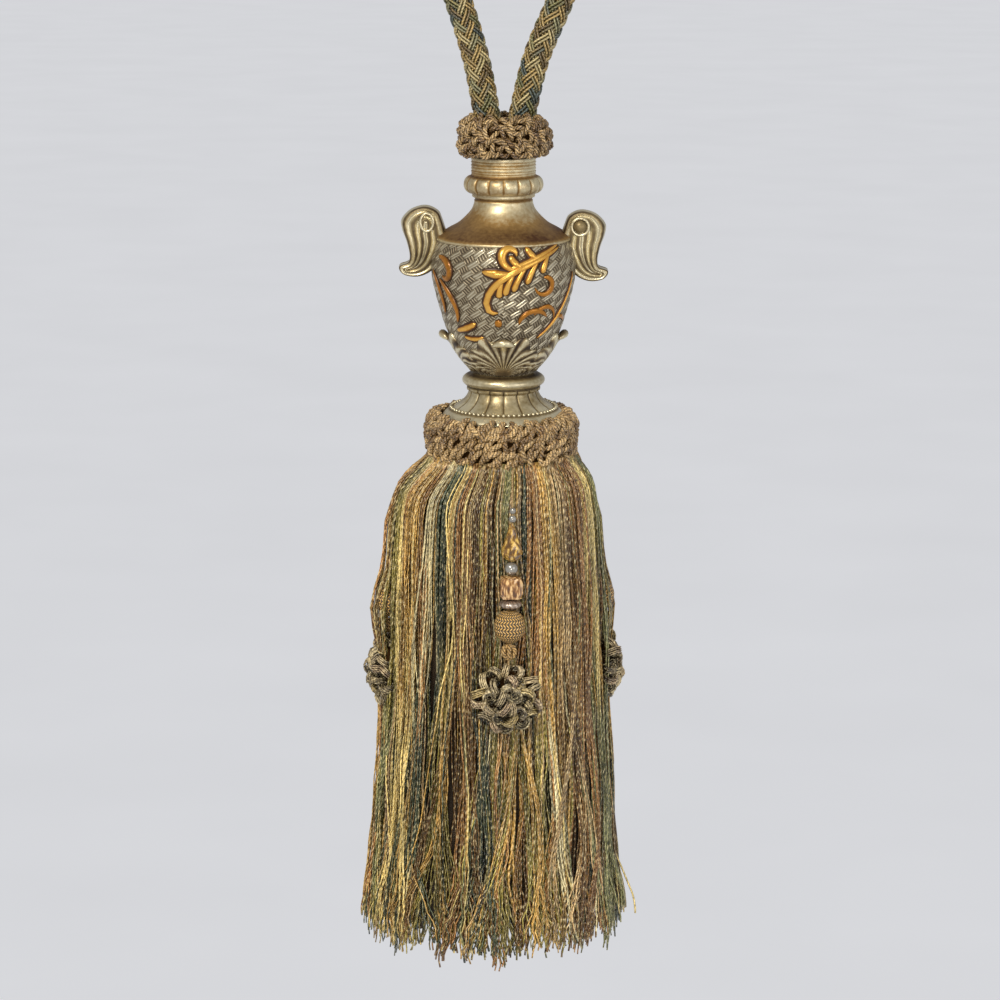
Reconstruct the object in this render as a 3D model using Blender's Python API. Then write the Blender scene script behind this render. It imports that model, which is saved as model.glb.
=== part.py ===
"""Curtain tieback tassel: a braided rope loop, an urn-shaped cast head between two bands of cord
loops, a long yarn skirt and four strings of beads that end in rosette pompons.

Lengths are millimetres until a mesh is made. The origin is where the rope loop hangs, on the
underside of its arch, and everything lies below it. The front of the head faces -Y.
"""

import math
import random

import bmesh
import bpy
from mathutils import Matrix, Vector

MM = 0.001
TOUCH = 0.35  # clear space between pieces that touch

# The underside of the head's foot plate. Every height below is measured up from it.
PLATE_Z = -235.7

ROPE_DIAMETER = 11.0
ROPE_STEP = 10.0
# The rope's centre line, from one end in the neck round the hanging arch to the other end.
ROPE_ROUTE = (
    (-5.9, 105.2),
    (-6.1, 114.0),
    (-6.9, 123.2),
    (-10.9, 143.4),
    (-17.6, 165.2),
    (-25.2, 184.0),
    (-30.0, 203.0),
    (-28.0, 221.0),
    (-16.4, 235.8),
    (0.0, 241.2),
    (17.0, 235.6),
    (29.2, 221.0),
    (32.4, 203.0),
    (28.8, 184.0),
    (21.9, 165.2),
    (12.8, 143.4),
    (7.8, 123.2),
    (6.4, 114.0),
    (6.2, 105.2),
)

# Head: radius at each height above the underside of the plate, turned round the axis.
HEAD_COLUMNS = 48
HEAD_PROFILE = (
    (0.0, 23.8),
    (2.7, 24.0),
    (3.3, 22.4),
    (5.0, 21.6),
    (6.2, 18.8),
    (8.6, 15.4),
    (11.7, 13.7),
    (13.0, 14.4),
    (14.3, 14.8),
    (16.3, 16.2),
    (18.4, 14.9),
    (20.0, 12.6),
    (24.4, 16.2),
    (29.0, 19.2),
    (33.6, 21.5),
    (36.4, 22.6),
    (39.4, 23.5),
    (44.0, 24.9),
    (52.0, 27.2),
    (62.0, 28.8),
    (68.0, 28.1),
    (73.0, 26.2),
    (76.0, 24.0),
    (78.0, 21.0),
    (81.5, 14.2),
    (84.4, 11.9),
    (87.6, 10.5),
    (90.3, 11.5),
    (91.2, 14.8),
    (94.0, 15.7),
    (96.9, 14.8),
    (97.8, 12.6),
    (104.8, 12.6),
)
LOBES = 16
LOBE_DEPTH = 0.55
LOBE_BAND = (91.0, 97.0)
FLUTE_DEPTH = 0.3
FLUTE_BAND = (6.0, 12.0)
LEAVES = 4
LEAF_RISE = 1.2
LEAF_FOOT = 21.0
LEAF_TIP_HEIGHT = 36.4
LEAF_SIDE_DROP = 11.0  # how far the leaf's edge falls where it meets the next leaf
LEAF_TIP_OUT = 3.4
LEAF_TIP_WIDTH = 0.3  # share of the leaf's half width that curls out

# Handle: its outline in the plane of both handles, outward from the axis and up.
HANDLE_THICKNESS = 9.6
HANDLE_EDGE = 2.2
HANDLE_OUTLINE = (
    (24.0, 79.6),
    (25.8, 83.0),
    (30.6, 84.9),
    (36.2, 83.4),
    (40.0, 79.4),
    (39.9, 75.4),
    (38.2, 70.6),
    (37.0, 65.4),
    (37.6, 62.4),
    (41.2, 60.8),
    (39.0, 57.8),
    (33.6, 56.9),
    (28.4, 58.8),
    (24.8, 63.0),
    (21.6, 70.0),
    (22.4, 74.2),
)
HANDLE_EYE = (29.8, 78.6)
HANDLE_EYE_RADIUS = 2.3
HANDLE_TILT = 0.9  # the left handle sits this much higher than drawn, the right one lower

# Ruff: a band of cord loops round the two legs of the rope.
RUFF_COLUMNS = 36
RUFF_LUMPS = 12
RUFF_LUMP_DEPTH = 1.5
RUFF_HEIGHTS = (105.2, 107.0, 111.0, 115.0, 119.0, 122.0)
RUFF_RADII = (15.2, 17.8, 18.6, 18.4, 17.2, 15.4)
RUFF_HOLE_DEPTH = 6.1

# Collar: the wider band round the plate and over the skirt's heading.
COLLAR_X = -0.9
COLLAR_COLUMNS = 60
COLLAR_LUMPS = 20
COLLAR_LUMP_DEPTH = 1.5
COLLAR_OUTSIDE = (
    (5.0, 26.6),
    (6.3, 28.4),
    (4.2, 30.6),
    (-0.4, 31.2),
    (-5.0, 31.4),
    (-9.6, 31.2),
    (-13.0, 30.6),
)
COLLAR_BOTTOM = (-14.4, 29.4)
COLLAR_SEAT_RADIUS = 25.4
HEADING_OUTER = 28.0
HEADING_INNER = 17.5
HEADING_TOP = -TOUCH
HEADING_BOTTOM = -14.6

# Skirt: strands in three rows, one below each ring of the heading. The table has a line for each
# level: heights and radii of the centre lines of the inner, middle and outer row, how thick a
# strand is there, and how far it gives way behind a bead string that hangs in front of the skirt
# (dent) and behind one that hangs in a hollow between the strands (nest).
SKIRT_X = -3.2
STRAND_COLUMNS = 40
STRAND_ROWS = 3
STRAND_ROOT_GAP = 0.4
STRAND_FILL = 0.8  # width of a strand over its share of the row's circle
SKIRT_LEVELS = (
    {"heights": (-22.0, -20.6, -18.8), "radii": (20.5, 25.2, 30.6), "thick": 2.4, "dent": 0.0, "nest": 0.0},
    {"heights": (-33.0, -29.0, -24.8), "radii": (25.5, 31.4, 37.4), "thick": 3.0, "dent": 0.6, "nest": 4.4},
    {"heights": (-60.0, -54.0, -50.0), "radii": (28.4, 34.4, 40.0), "thick": 3.4, "dent": 3.4, "nest": 9.4},
    {"heights": (-98.0, -98.0, -98.0), "radii": (31.3, 36.9, 42.5), "thick": 3.4, "dent": 5.6, "nest": 10.8},
    {"heights": (-155.0, -155.0, -155.0), "radii": (35.6, 41.3, 47.0), "thick": 3.6, "dent": 1.6, "nest": 2.4},
    {"heights": (-205.0, -208.0, -211.0), "radii": (38.0, 43.8, 49.6), "thick": 3.4, "dent": 0.0, "nest": 0.0},
)
DENT_WIDTH = math.radians(16.0)
NEST_WIDTH = math.radians(20.0)
END_UNEVEN = 5.0
STRAND_SWAY = 0.45

# Bead strings: four, a quarter turn apart. The front and back ones hang in front of the skirt, and
# the two side ones between its strands, down to where their pompons lie on it.
STRINGS = 4
NESTED_STRINGS = (1, 3)
STRING_TOP_TURN = math.radians(9.0)
STRING_END_TURN = math.radians(5.6)
STRING_TOP_RADIUS = 43.0
STRING_SLOPE = 0.075
STRING_TOP = -26.4
POMPON_RADIUS_AT = 47.3
THREAD_RADIUS = 0.45
THREAD_ROUTE = ((30.7, -14.1), (32.6, -16.6), (37.8, -21.4), (42.2, -24.8))
NESTED_THREAD = ((30.7, -14.1), (32.6, -16.6), (34.7, -20.6), (36.4, -24.8))
NESTED_ROUTE = (
    (36.4, -24.8),
    (38.2, -42.0),
    (39.0, -57.6),
    (40.4, -66.0),
    (42.2, -72.8),
    (44.45, -83.0),
    (45.8, -92.0),
)
SMALL_PEARL = 2.6
SECOND_PEARL = 3.0
DROP_HEIGHT = 14.6
DROP_SECTIONS = ((0.0, 0.9), (0.2, 1.6), (0.45, 2.9), (0.72, 4.3), (0.9, 3.2), (1.0, 1.4))
DROP_SIDES = 8
LARGE_PEARL = 5.2
CUBE_SIDE = 8.8
CUBE_EDGE = 1.2
DISC_HEIGHT = 3.4
DISC_RADIUS = 4.4
BALL_HEIGHT = 13.4
BALL_RADIUS = 6.1
KNOT_HEIGHT = 6.2
KNOT_RADIUS = 3.6
POMPON_WIDTH = 33.0
POMPON_HEIGHT = 31.0
POMPON_THICKNESS = 12.8
POMPON_LOBES = 8
POMPON_LOBE_DEPTH = 0.09


def clear_scene():
    for old in list(bpy.data.objects):
        bpy.data.objects.remove(old, do_unlink=True)


def make_material(name, colour, roughness, metallic):
    material = bpy.data.materials.new(name)
    material.use_nodes = True
    shader = material.node_tree.nodes["Principled BSDF"]
    shader.inputs["Base Color"].default_value = (*colour, 1.0)
    shader.inputs["Roughness"].default_value = roughness
    shader.inputs["Metallic"].default_value = metallic
    return material


def polar(radius, turn, height, centre_x=0.0):
    """Turn 0 is the front (-Y) and grows towards +X. Gives metres."""
    x = centre_x + radius * math.sin(turn)
    y = -radius * math.cos(turn)
    return Vector((x, y, PLATE_Z + height)) * MM


def finish(mesh, name, material, smooth_angle=40.0):
    """Closes a bmesh into an object with its faces pointing out."""
    bmesh.ops.recalc_face_normals(mesh, faces=mesh.faces[:])
    data = bpy.data.meshes.new(name)
    mesh.to_mesh(data)
    mesh.free()
    data.materials.append(material)
    data.shade_smooth()
    data.set_sharp_from_angle(angle=math.radians(smooth_angle))
    made = bpy.data.objects.new(name, data)
    bpy.context.collection.objects.link(made)
    return made


def bridge(mesh, lower, upper):
    """Quads between two rings of points in the same order."""
    for i in range(len(lower)):
        after = (i + 1) % len(lower)
        mesh.faces.new((lower[i], lower[after], upper[after], upper[i]))


def stacked_rings(rings):
    """A bmesh of rings from bottom to top, closed by a flat face at each end."""
    mesh = bmesh.new()
    made = [[mesh.verts.new(point) for point in ring] for ring in rings]
    for lower, upper in zip(made, made[1:]):
        bridge(mesh, lower, upper)
    mesh.faces.new(made[0][::-1])
    mesh.faces.new(made[-1])
    return mesh


def closed_rings(rings):
    """A bmesh of rings that come back to the first one, such as a band round the axis."""
    mesh = bmesh.new()
    made = [[mesh.verts.new(point) for point in ring] for ring in rings]
    for lower, upper in zip(made, made[1:] + made[:1]):
        bridge(mesh, lower, upper)
    return mesh


def catmull(before, start, end, after, t):
    return 0.5 * (
        2 * start
        + (end - before) * t
        + (2 * before - 5 * start + 4 * end - after) * t * t
        + (3 * start - before - 3 * end + after) * t**3
    )


def smooth_route(route, step):
    """Points about a step apart on a smooth curve through the route's own points."""
    ends = (2 * route[0] - route[1], 2 * route[-1] - route[-2])
    padded = [ends[0], *route, ends[1]]
    dense = []
    for i in range(1, len(padded) - 2):
        dense += [catmull(*padded[i - 1 : i + 3], t / 20) for t in range(20)]
    dense.append(route[-1])
    length = sum((b - a).length for a, b in zip(dense, dense[1:]))
    spacing = length / round(length / step)
    points, walked = [dense[0]], 0.0
    for a, b in zip(dense, dense[1:]):
        walked += (b - a).length
        if walked >= spacing * len(points) - 1e-9:
            points.append(b)
    points[-1] = route[-1]
    return points


def tube(name, points, radius, resolution, material):
    """A curve object along these points, with a round section and filled ends."""
    curve = bpy.data.curves.new(name, "CURVE")
    curve.dimensions = "3D"
    curve.bevel_depth = radius * MM
    curve.bevel_resolution = resolution
    curve.use_fill_caps = True
    spline = curve.splines.new("POLY")
    spline.points.add(len(points) - 1)
    for place, point in zip(spline.points, points):
        place.co = (*point, 1.0)
    curve.materials.append(material)
    made = bpy.data.objects.new(name, curve)
    bpy.context.collection.objects.link(made)
    return made


def rope(material):
    route = [Vector((x, 0.0, PLATE_Z + height)) * MM for x, height in ROPE_ROUTE]
    points = smooth_route(route, ROPE_STEP * MM)
    return tube("rope", points, ROPE_DIAMETER / 2, 3, material)


def head_radius(height, radius, turn):
    """The turned radius with its lobes, flutes and leaf cup."""
    if LOBE_BAND[0] < height < LOBE_BAND[1]:
        return radius - LOBE_DEPTH * (0.5 + 0.5 * math.cos(LOBES * turn))
    if FLUTE_BAND[0] < height < FLUTE_BAND[1]:
        return radius - FLUTE_DEPTH * (0.5 + 0.5 * math.cos(LOBES * turn))
    if LEAF_FOOT < height <= LEAF_TIP_HEIGHT:
        across = abs(math.remainder(turn, math.tau / LEAVES)) / (math.pi / LEAVES)
        if height <= LEAF_TIP_HEIGHT - LEAF_SIDE_DROP * across**4:
            radius += LEAF_RISE
        if height == LEAF_TIP_HEIGHT:
            radius += LEAF_TIP_OUT * max(0.0, 1.0 - (across / LEAF_TIP_WIDTH) ** 2)
    return radius


def head_casting(material):
    turns = [math.tau * i / HEAD_COLUMNS for i in range(HEAD_COLUMNS)]
    rings = [
        [polar(head_radius(height, radius, turn), turn, height) for turn in turns]
        for height, radius in HEAD_PROFILE
    ]
    head = finish(stacked_rings(rings), "urn", material, 25.0)
    for side in (-1, 1):
        for shape in handle(side, material):
            join = head.modifiers.new(shape.name, "BOOLEAN")
            join.operation = "UNION"
            join.solver = "EXACT"
            join.object = shape
    return head


def handle(side, material):
    """One scroll handle and its two eyes, as shapes to be joined to the head."""
    rise = -side * HANDLE_TILT
    mesh = bmesh.new()
    outline = []
    for out, up in HANDLE_OUTLINE:
        place = (side * out, -HANDLE_THICKNESS / 2, PLATE_Z + up + rise)
        outline.append(mesh.verts.new(Vector(place) * MM))
    front = mesh.faces.new(outline)
    pushed = bmesh.ops.extrude_face_region(mesh, geom=[front])["geom"]
    moved = [item for item in pushed if isinstance(item, bmesh.types.BMVert)]
    bmesh.ops.translate(mesh, verts=moved, vec=(0.0, HANDLE_THICKNESS * MM, 0.0))
    rims = [edge for edge in mesh.edges if edge.calc_face_angle(0.0) > math.radians(80)]
    bmesh.ops.bevel(mesh, geom=rims, offset=HANDLE_EDGE * MM, segments=1, affect="EDGES")
    pieces = [finish(mesh, f"handle_shape_{side}", material)]
    for face in (-1, 1):
        eye = bmesh.new()
        eye_z = PLATE_Z + HANDLE_EYE[1] + rise
        place = (side * HANDLE_EYE[0], face * HANDLE_THICKNESS / 2, eye_z)
        at = Matrix.Translation(Vector(place) * MM)
        bmesh.ops.create_uvsphere(
            eye, u_segments=8, v_segments=6, radius=HANDLE_EYE_RADIUS * MM, matrix=at
        )
        pieces.append(finish(eye, f"eye_shape_{side}_{face}", material))
    for piece in pieces:
        piece.hide_render = True
        piece.display_type = "WIRE"
    return pieces


def ruff(material):
    """Round outside, and inside a slot that clears both legs of the rope."""
    turns = [math.tau * i / RUFF_COLUMNS for i in range(RUFF_COLUMNS)]
    rings = []
    for row, (height, radius) in enumerate(zip(RUFF_HEIGHTS, RUFF_RADII)):
        shift = math.pi * (row % 2)
        ring = []
        for turn in turns:
            lump = 0.5 - 0.5 * math.cos(RUFF_LUMPS * turn + shift)
            ring.append(polar(radius - RUFF_LUMP_DEPTH * lump, turn, height))
        rings.append(ring)
    for height in (RUFF_HEIGHTS[-1] - 1.0, RUFF_HEIGHTS[0]):
        leg = leg_spread(height)
        slot = []
        for turn in turns:
            x, y = RUFF_HOLE_DEPTH * math.sin(turn), -RUFF_HOLE_DEPTH * math.cos(turn)
            x += leg * max(-1.0, min(1.0, 3.0 * math.sin(turn)))
            slot.append(Vector((x, y, PLATE_Z + height)) * MM)
        rings.append(slot)
    return finish(closed_rings(rings), "ruff", material, 15.0)


def leg_spread(height):
    """How far each leg's centre lies from the axis at this height, the wider of the two."""
    right = [(up, x) for x, up in ROPE_ROUTE if x > 0 and up <= 150.0]
    right.sort()
    for (low, x_low), (high, x_high) in zip(right, right[1:]):
        if low <= height <= high:
            return x_low + (x_high - x_low) * (height - low) / (high - low) + 0.4
    return right[0][1] + 0.4


def collar(material):
    turns = [math.tau * i / COLLAR_COLUMNS for i in range(COLLAR_COLUMNS)]
    rings = []
    for row, (height, radius) in enumerate(COLLAR_OUTSIDE):
        shift = math.pi * (row % 2)
        ring = []
        for turn in turns:
            lump = 0.5 - 0.5 * math.cos(COLLAR_LUMPS * turn + shift)
            ring.append(polar(radius - COLLAR_LUMP_DEPTH * lump, turn, height, COLLAR_X))
        rings.append(ring)
    heading_clear = HEADING_OUTER + TOUCH
    inside = (
        COLLAR_BOTTOM,
        (COLLAR_BOTTOM[0] + 1.0, heading_clear),
        (TOUCH / 2, heading_clear),
        (TOUCH / 2, COLLAR_SEAT_RADIUS),
        (3.6, COLLAR_SEAT_RADIUS),
    )
    for height, radius in inside:
        rings.append([polar(radius, turn, height, COLLAR_X) for turn in turns])
    return finish(closed_rings(rings), "collar", material, 15.0)


def dent_depth(turn, at):
    """How far a strand in this direction gives way behind the bead strings, at one level."""
    depth = 0.0
    for i in range(STRINGS):
        away = abs(math.remainder(turn - STRING_END_TURN - math.tau * i / STRINGS, math.tau))
        size, width = (at["nest"], NEST_WIDTH) if i in NESTED_STRINGS else (at["dent"], DENT_WIDTH)
        depth = max(depth, size * math.exp(-((away / width) ** 2)))
    return depth


def strand_section(row, turn, level, end_drop, sway):
    """Centre, half width, half thickness and the outward direction of one strand at one level."""
    table = SKIRT_LEVELS[level]

    def place(index):
        at = SKIRT_LEVELS[index]
        return at["radii"][row] - dent_depth(turn, at), at["heights"][row]

    radius, height = place(level)
    if level == 0:
        root_step = (HEADING_OUTER - HEADING_INNER) / STRAND_ROWS
        before = (HEADING_INNER + (row + 0.5) * root_step, HEADING_BOTTOM)
    else:
        before = place(level - 1)
    after = place(level + 1) if level + 1 < len(SKIRT_LEVELS) else (radius, height - 10.0)
    along = Vector((after[0] - before[0], after[1] - before[1])).normalized()
    if level + 1 == len(SKIRT_LEVELS):
        height += end_drop
    hang = level / (len(SKIRT_LEVELS) - 1)
    centre = polar(radius, turn + sway * hang / radius, height, SKIRT_X)
    outward = Vector((-along.y * math.sin(turn), along.y * math.cos(turn), along.x))
    half_width = 0.5 * STRAND_FILL * math.tau * radius / STRAND_COLUMNS
    return centre, half_width * MM, 0.5 * table["thick"] * MM, outward


def skirt(material):
    """The heading ring, and each strand pushed out of its own face of the ring's underside."""
    uneven = random.Random(7)
    turns = [math.tau * i / STRAND_COLUMNS for i in range(STRAND_COLUMNS)]
    step = (HEADING_OUTER - HEADING_INNER) / STRAND_ROWS
    section = [(HEADING_INNER + i * step, HEADING_BOTTOM) for i in range(STRAND_ROWS + 1)]
    section += [(HEADING_OUTER, HEADING_TOP), (HEADING_INNER, HEADING_TOP)]
    mesh = closed_rings(
        [[polar(radius, turn, height, COLLAR_X) for turn in turns] for radius, height in section]
    )
    bmesh.ops.recalc_face_normals(mesh, faces=mesh.faces[:])
    number = mesh.faces.layers.int.new("strand")
    mesh.faces.ensure_lookup_table()
    roots, strands = [], {}
    for row in range(STRAND_ROWS):
        for column in range(STRAND_COLUMNS):
            face = mesh.faces[row * STRAND_COLUMNS + column]
            turn = math.tau * (column + 0.5) / STRAND_COLUMNS
            face[number] = len(strands)
            end_drop = uneven.uniform(-END_UNEVEN, END_UNEVEN)
            sway = uneven.uniform(-STRAND_SWAY, STRAND_SWAY)
            strands[len(strands)] = (row, turn, end_drop, sway)
            roots.append(face)
    bmesh.ops.inset_individual(mesh, faces=roots, thickness=STRAND_ROOT_GAP * MM)
    tips = roots
    for level in range(len(SKIRT_LEVELS)):
        tips = bmesh.ops.extrude_discrete_faces(mesh, faces=tips)["faces"]
        for face in tips:
            row, turn, end_drop, sway = strands[face[number]]
            section_here = strand_section(row, turn, level, end_drop, sway)
            centre, half_width, half_thick, outward = section_here
            along_row = Vector((math.cos(turn), math.sin(turn), 0.0))
            radial = Vector((math.sin(turn), -math.cos(turn), 0.0))
            middle = face.calc_center_median()
            for vert in face.verts:
                side = math.copysign(half_width, (vert.co - middle).dot(along_row))
                depth = math.copysign(half_thick, (vert.co - middle).dot(radial))
                vert.co = centre + side * along_row + depth * outward
    return finish(mesh, "skirt", material)


def nested_radius(height):
    """Radius of a side string at this height, on straight stretches between its route's points."""
    for (start, high), (end, low) in zip(NESTED_ROUTE, NESTED_ROUTE[1:]):
        if height >= low:
            return start + (end - start) * (high - height) / (high - low)
    return NESTED_ROUTE[-1][0]


def string_place(quarter, height):
    """Radius and turn of a bead string at this height."""
    end = STRING_TOP - 75.0
    share = min(1.0, (STRING_TOP - height) / (STRING_TOP - end))
    turn = STRING_TOP_TURN + (STRING_END_TURN - STRING_TOP_TURN) * share
    radius = min(STRING_TOP_RADIUS + STRING_SLOPE * (STRING_TOP - height), POMPON_RADIUS_AT)
    if quarter in NESTED_STRINGS:
        radius = nested_radius(height)
    return radius, turn + math.tau * quarter / STRINGS


def seat(quarter, height):
    """The frame of a bead whose middle is at this height: x along the row, -y outward, z up."""
    radius, turn = string_place(quarter, height)
    return Matrix.Translation(polar(radius, turn, height, SKIRT_X)) @ Matrix.Rotation(turn, 4, "Z")


def turned_bead(sections, sides):
    """Rings of (height, radius), from bottom to top, about z."""
    rings = []
    for height, radius in sections:
        turns = [math.tau * i / sides for i in range(sides)]
        rings.append([Vector((radius * math.cos(t), radius * math.sin(t), height)) * MM for t in turns])
    return stacked_rings(rings)


def pearl(diameter, segments, rows):
    mesh = bmesh.new()
    bmesh.ops.create_uvsphere(mesh, u_segments=segments, v_segments=rows, radius=0.5 * diameter * MM)
    return mesh


def drop_bead():
    sections = [((0.5 - share) * DROP_HEIGHT, radius) for share, radius in reversed(DROP_SECTIONS)]
    return turned_bead(sections, DROP_SIDES)


def cube_bead():
    mesh = bmesh.new()
    bmesh.ops.create_cube(mesh, size=CUBE_SIDE * MM)
    bmesh.ops.bevel(mesh, geom=mesh.edges[:], offset=CUBE_EDGE * MM, segments=1, affect="EDGES")
    return mesh


def disc_bead():
    half = DISC_HEIGHT / 2
    outline = ((-1.0, 0.7), (-0.3, 1.0), (0.3, 1.0), (1.0, 0.7))
    return turned_bead([(half * up, DISC_RADIUS * out) for up, out in outline], 12)


def ball_bead():
    mesh = bmesh.new()
    bmesh.ops.create_uvsphere(mesh, u_segments=10, v_segments=6, radius=BALL_RADIUS * MM)
    bmesh.ops.scale(mesh, verts=mesh.verts[:], vec=(1.0, 1.0, 0.5 * BALL_HEIGHT / BALL_RADIUS))
    return mesh


def knot():
    """Two small loops side by side, as one body with a waist between them."""
    mesh = bmesh.new()
    bmesh.ops.create_uvsphere(mesh, u_segments=8, v_segments=6, radius=KNOT_RADIUS * MM)
    bmesh.ops.scale(mesh, verts=mesh.verts[:], vec=(1.0, 0.7, 0.5 * KNOT_HEIGHT / KNOT_RADIUS))
    for vert in mesh.verts:
        near = 1.0 - min(1.0, abs(vert.co.x) / (KNOT_RADIUS * MM))
        vert.co.y *= 1.0 - 0.35 * near
    return mesh


def pompon():
    """A rosette that faces outward: lobes round its rim and a dimple in the middle."""
    mesh = bmesh.new()
    turn_to_face = Matrix.Rotation(math.radians(90.0), 4, "X")
    bmesh.ops.create_uvsphere(mesh, u_segments=16, v_segments=8, radius=1.0, matrix=turn_to_face)
    half = Vector((POMPON_WIDTH, POMPON_THICKNESS, POMPON_HEIGHT)) * 0.5 * MM
    for vert in mesh.verts:
        angle = math.atan2(vert.co.z, vert.co.x)
        rim = math.hypot(vert.co.x, vert.co.z)
        lobe = 1.0 - POMPON_LOBE_DEPTH * rim * (1.0 - math.cos(POMPON_LOBES * angle))
        dimple = 1.0 - 0.25 * max(0.0, 1.0 - 2.5 * rim) if vert.co.y < 0 else 1.0
        scale = Vector((lobe * half.x, dimple * half.y, lobe * half.z))
        vert.co = vert.co * scale
    return mesh


# A bead string from the top: name of the piece, its height and what makes it.
STRING_PIECES = (
    ("pearl_a", SMALL_PEARL, lambda: pearl(SMALL_PEARL, 6, 4)),
    ("pearl_b", SECOND_PEARL, lambda: pearl(SECOND_PEARL, 6, 4)),
    ("drop", DROP_HEIGHT, drop_bead),
    ("pearl_c", LARGE_PEARL, lambda: pearl(LARGE_PEARL, 10, 6)),
    ("cube", CUBE_SIDE, cube_bead),
    ("disc", DISC_HEIGHT, disc_bead),
    ("ball", BALL_HEIGHT, ball_bead),
    ("knot", KNOT_HEIGHT, knot),
    ("pompon", POMPON_HEIGHT, pompon),
)


def thread(quarter, material):
    """The thread from the collar's lower edge over the skirt's shoulder to the first bead."""
    turn = STRING_TOP_TURN + math.tau * quarter / STRINGS
    route = NESTED_THREAD if quarter in NESTED_STRINGS else THREAD_ROUTE
    points = []
    for i, (radius, height) in enumerate(route):
        centre_x = COLLAR_X + (SKIRT_X - COLLAR_X) * i / (len(route) - 1)
        points.append(polar(radius, turn, height, centre_x))
    return tube(f"thread_{quarter}", smooth_route(points, 2.5 * MM), THREAD_RADIUS, 1, material)


def bead_string(quarter, materials):
    thread(quarter, materials["thread"])
    top = STRING_TOP
    for piece, height, make in STRING_PIECES:
        made = finish(make(), f"{piece}_{quarter}", materials[piece])
        made.matrix_world = seat(quarter, top - height / 2)
        top -= height + TOUCH


def main():
    clear_scene()
    cord_gold = make_material("twisted_cord", (0.30, 0.18, 0.06), 0.6, 0.0)
    pearl_grey = make_material("pearl", (0.42, 0.42, 0.40), 0.25, 0.3)
    bead_materials = {
        "thread": make_material("thread", (0.30, 0.25, 0.18), 0.6, 0.0),
        "pearl_a": pearl_grey,
        "pearl_b": pearl_grey,
        "pearl_c": pearl_grey,
        "drop": make_material("amber_glass", (0.60, 0.36, 0.10), 0.08, 0.0),
        "cube": make_material("peach_glass", (0.68, 0.42, 0.20), 0.08, 0.0),
        "disc": make_material("silver_disc", (0.55, 0.47, 0.42), 0.25, 0.8),
        "ball": make_material("wound_thread", (0.42, 0.30, 0.12), 0.5, 0.0),
        "knot": cord_gold,
        "pompon": make_material("taupe_cord", (0.32, 0.25, 0.18), 0.65, 0.0),
    }
    rope(make_material("braided_rope", (0.34, 0.27, 0.13), 0.6, 0.0))
    ruff(cord_gold)
    head_casting(make_material("antique_gold_resin", (0.42, 0.36, 0.22), 0.32, 0.75))
    collar(cord_gold)
    skirt(make_material("mixed_yarn", (0.40, 0.32, 0.17), 0.6, 0.0))
    for quarter in range(STRINGS):
        bead_string(quarter, bead_materials)


main()
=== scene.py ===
import math

import bmesh
import bpy
import numpy as np
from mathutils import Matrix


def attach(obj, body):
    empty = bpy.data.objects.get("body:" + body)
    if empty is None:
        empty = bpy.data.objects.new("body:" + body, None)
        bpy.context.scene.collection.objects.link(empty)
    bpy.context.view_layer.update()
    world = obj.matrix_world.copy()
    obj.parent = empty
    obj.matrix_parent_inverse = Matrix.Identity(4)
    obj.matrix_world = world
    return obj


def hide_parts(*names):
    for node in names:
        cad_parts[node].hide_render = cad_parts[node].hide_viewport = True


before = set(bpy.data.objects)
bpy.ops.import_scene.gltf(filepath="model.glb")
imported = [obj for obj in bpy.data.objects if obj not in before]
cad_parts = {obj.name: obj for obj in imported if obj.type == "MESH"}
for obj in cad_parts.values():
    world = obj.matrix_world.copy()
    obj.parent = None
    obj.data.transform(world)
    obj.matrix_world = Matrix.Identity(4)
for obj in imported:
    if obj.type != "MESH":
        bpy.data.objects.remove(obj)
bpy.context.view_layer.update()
metres = 0.001  # all lengths below are millimetres, apart from the camera's and the lights'
plateHeight = -235.7  # underside of the urn's foot plate; heights are measured up from it
collarX, skirtX = -0.9, -3.2  # the collar and the skirt hang a little to the left of the urn
fullTurn = 2 * math.pi
toBack = np.array((0.0, 1.0, 0.0))
upright = np.array((0.0, 0.0, 1.0))


def unit(vectors):
    # Each vector divided by its length.
    return vectors / np.maximum(np.linalg.norm(vectors, axis=-1, keepdims=True), 1e-9)


def walkedAlong(points):
    # Distance walked at each point of a line, or of each of several lines.
    steps = np.diff(points, axis=-2, prepend=points[..., :1, :])
    return np.cumsum(np.linalg.norm(steps, axis=-1), axis=-1)


def smoothLine(points, count, closed=False):
    # Catmull-Rom curve through the points, sampled evenly along its length.
    points = np.asarray(points, float)
    if closed:
        padded = np.vstack((points[-1], points, points[0], points[1]))
    else:
        padded = np.vstack((2 * points[0] - points[1], points, 2 * points[-1] - points[-2]))
    a, b, c, d = (part[:, None, :] for part in (padded[:-3], padded[1:-2], padded[2:-1], padded[3:]))
    t = np.linspace(0, 1, 24, endpoint=False)[None, :, None]
    square, cube = 2 * a - 5 * b + 4 * c - d, 3 * b - a - 3 * c + d
    fine = 0.5 * (2 * b + (c - a) * t + square * t**2 + cube * t**3)
    fine = np.vstack((fine.reshape(-1, points.shape[1]), padded[-2]))
    walked = walkedAlong(fine)
    even = np.linspace(0, walked[-1], count, endpoint=not closed)
    return np.column_stack([np.interp(even, walked, column) for column in fine.T])


def profileLine(segments, step):
    # Smooth stretches of (height, radius) joined at crisp corners.
    lines = []
    for segment in segments:
        segment = np.array(segment, float)
        lines.append(smoothLine(segment, max(2, int(round(walkedAlong(segment)[-1] / step)) + 1)))
    return np.vstack([lines[0]] + [line[1:] for line in lines[1:]])


def around(radius, turn, height, centreX=0.0, base=plateHeight):
    # Point at this radius and turn about the upright axis. Turn 0 is the front, and it grows to +X.
    radius, turn, height = np.broadcast_arrays(radius, turn, height)
    return np.stack((centreX + radius * np.sin(turn), -radius * np.cos(turn), height + base), axis=-1)


def outward(turn):
    # Level direction away from the axis.
    return around(1.0, turn, 0.0, base=0.0)


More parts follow.
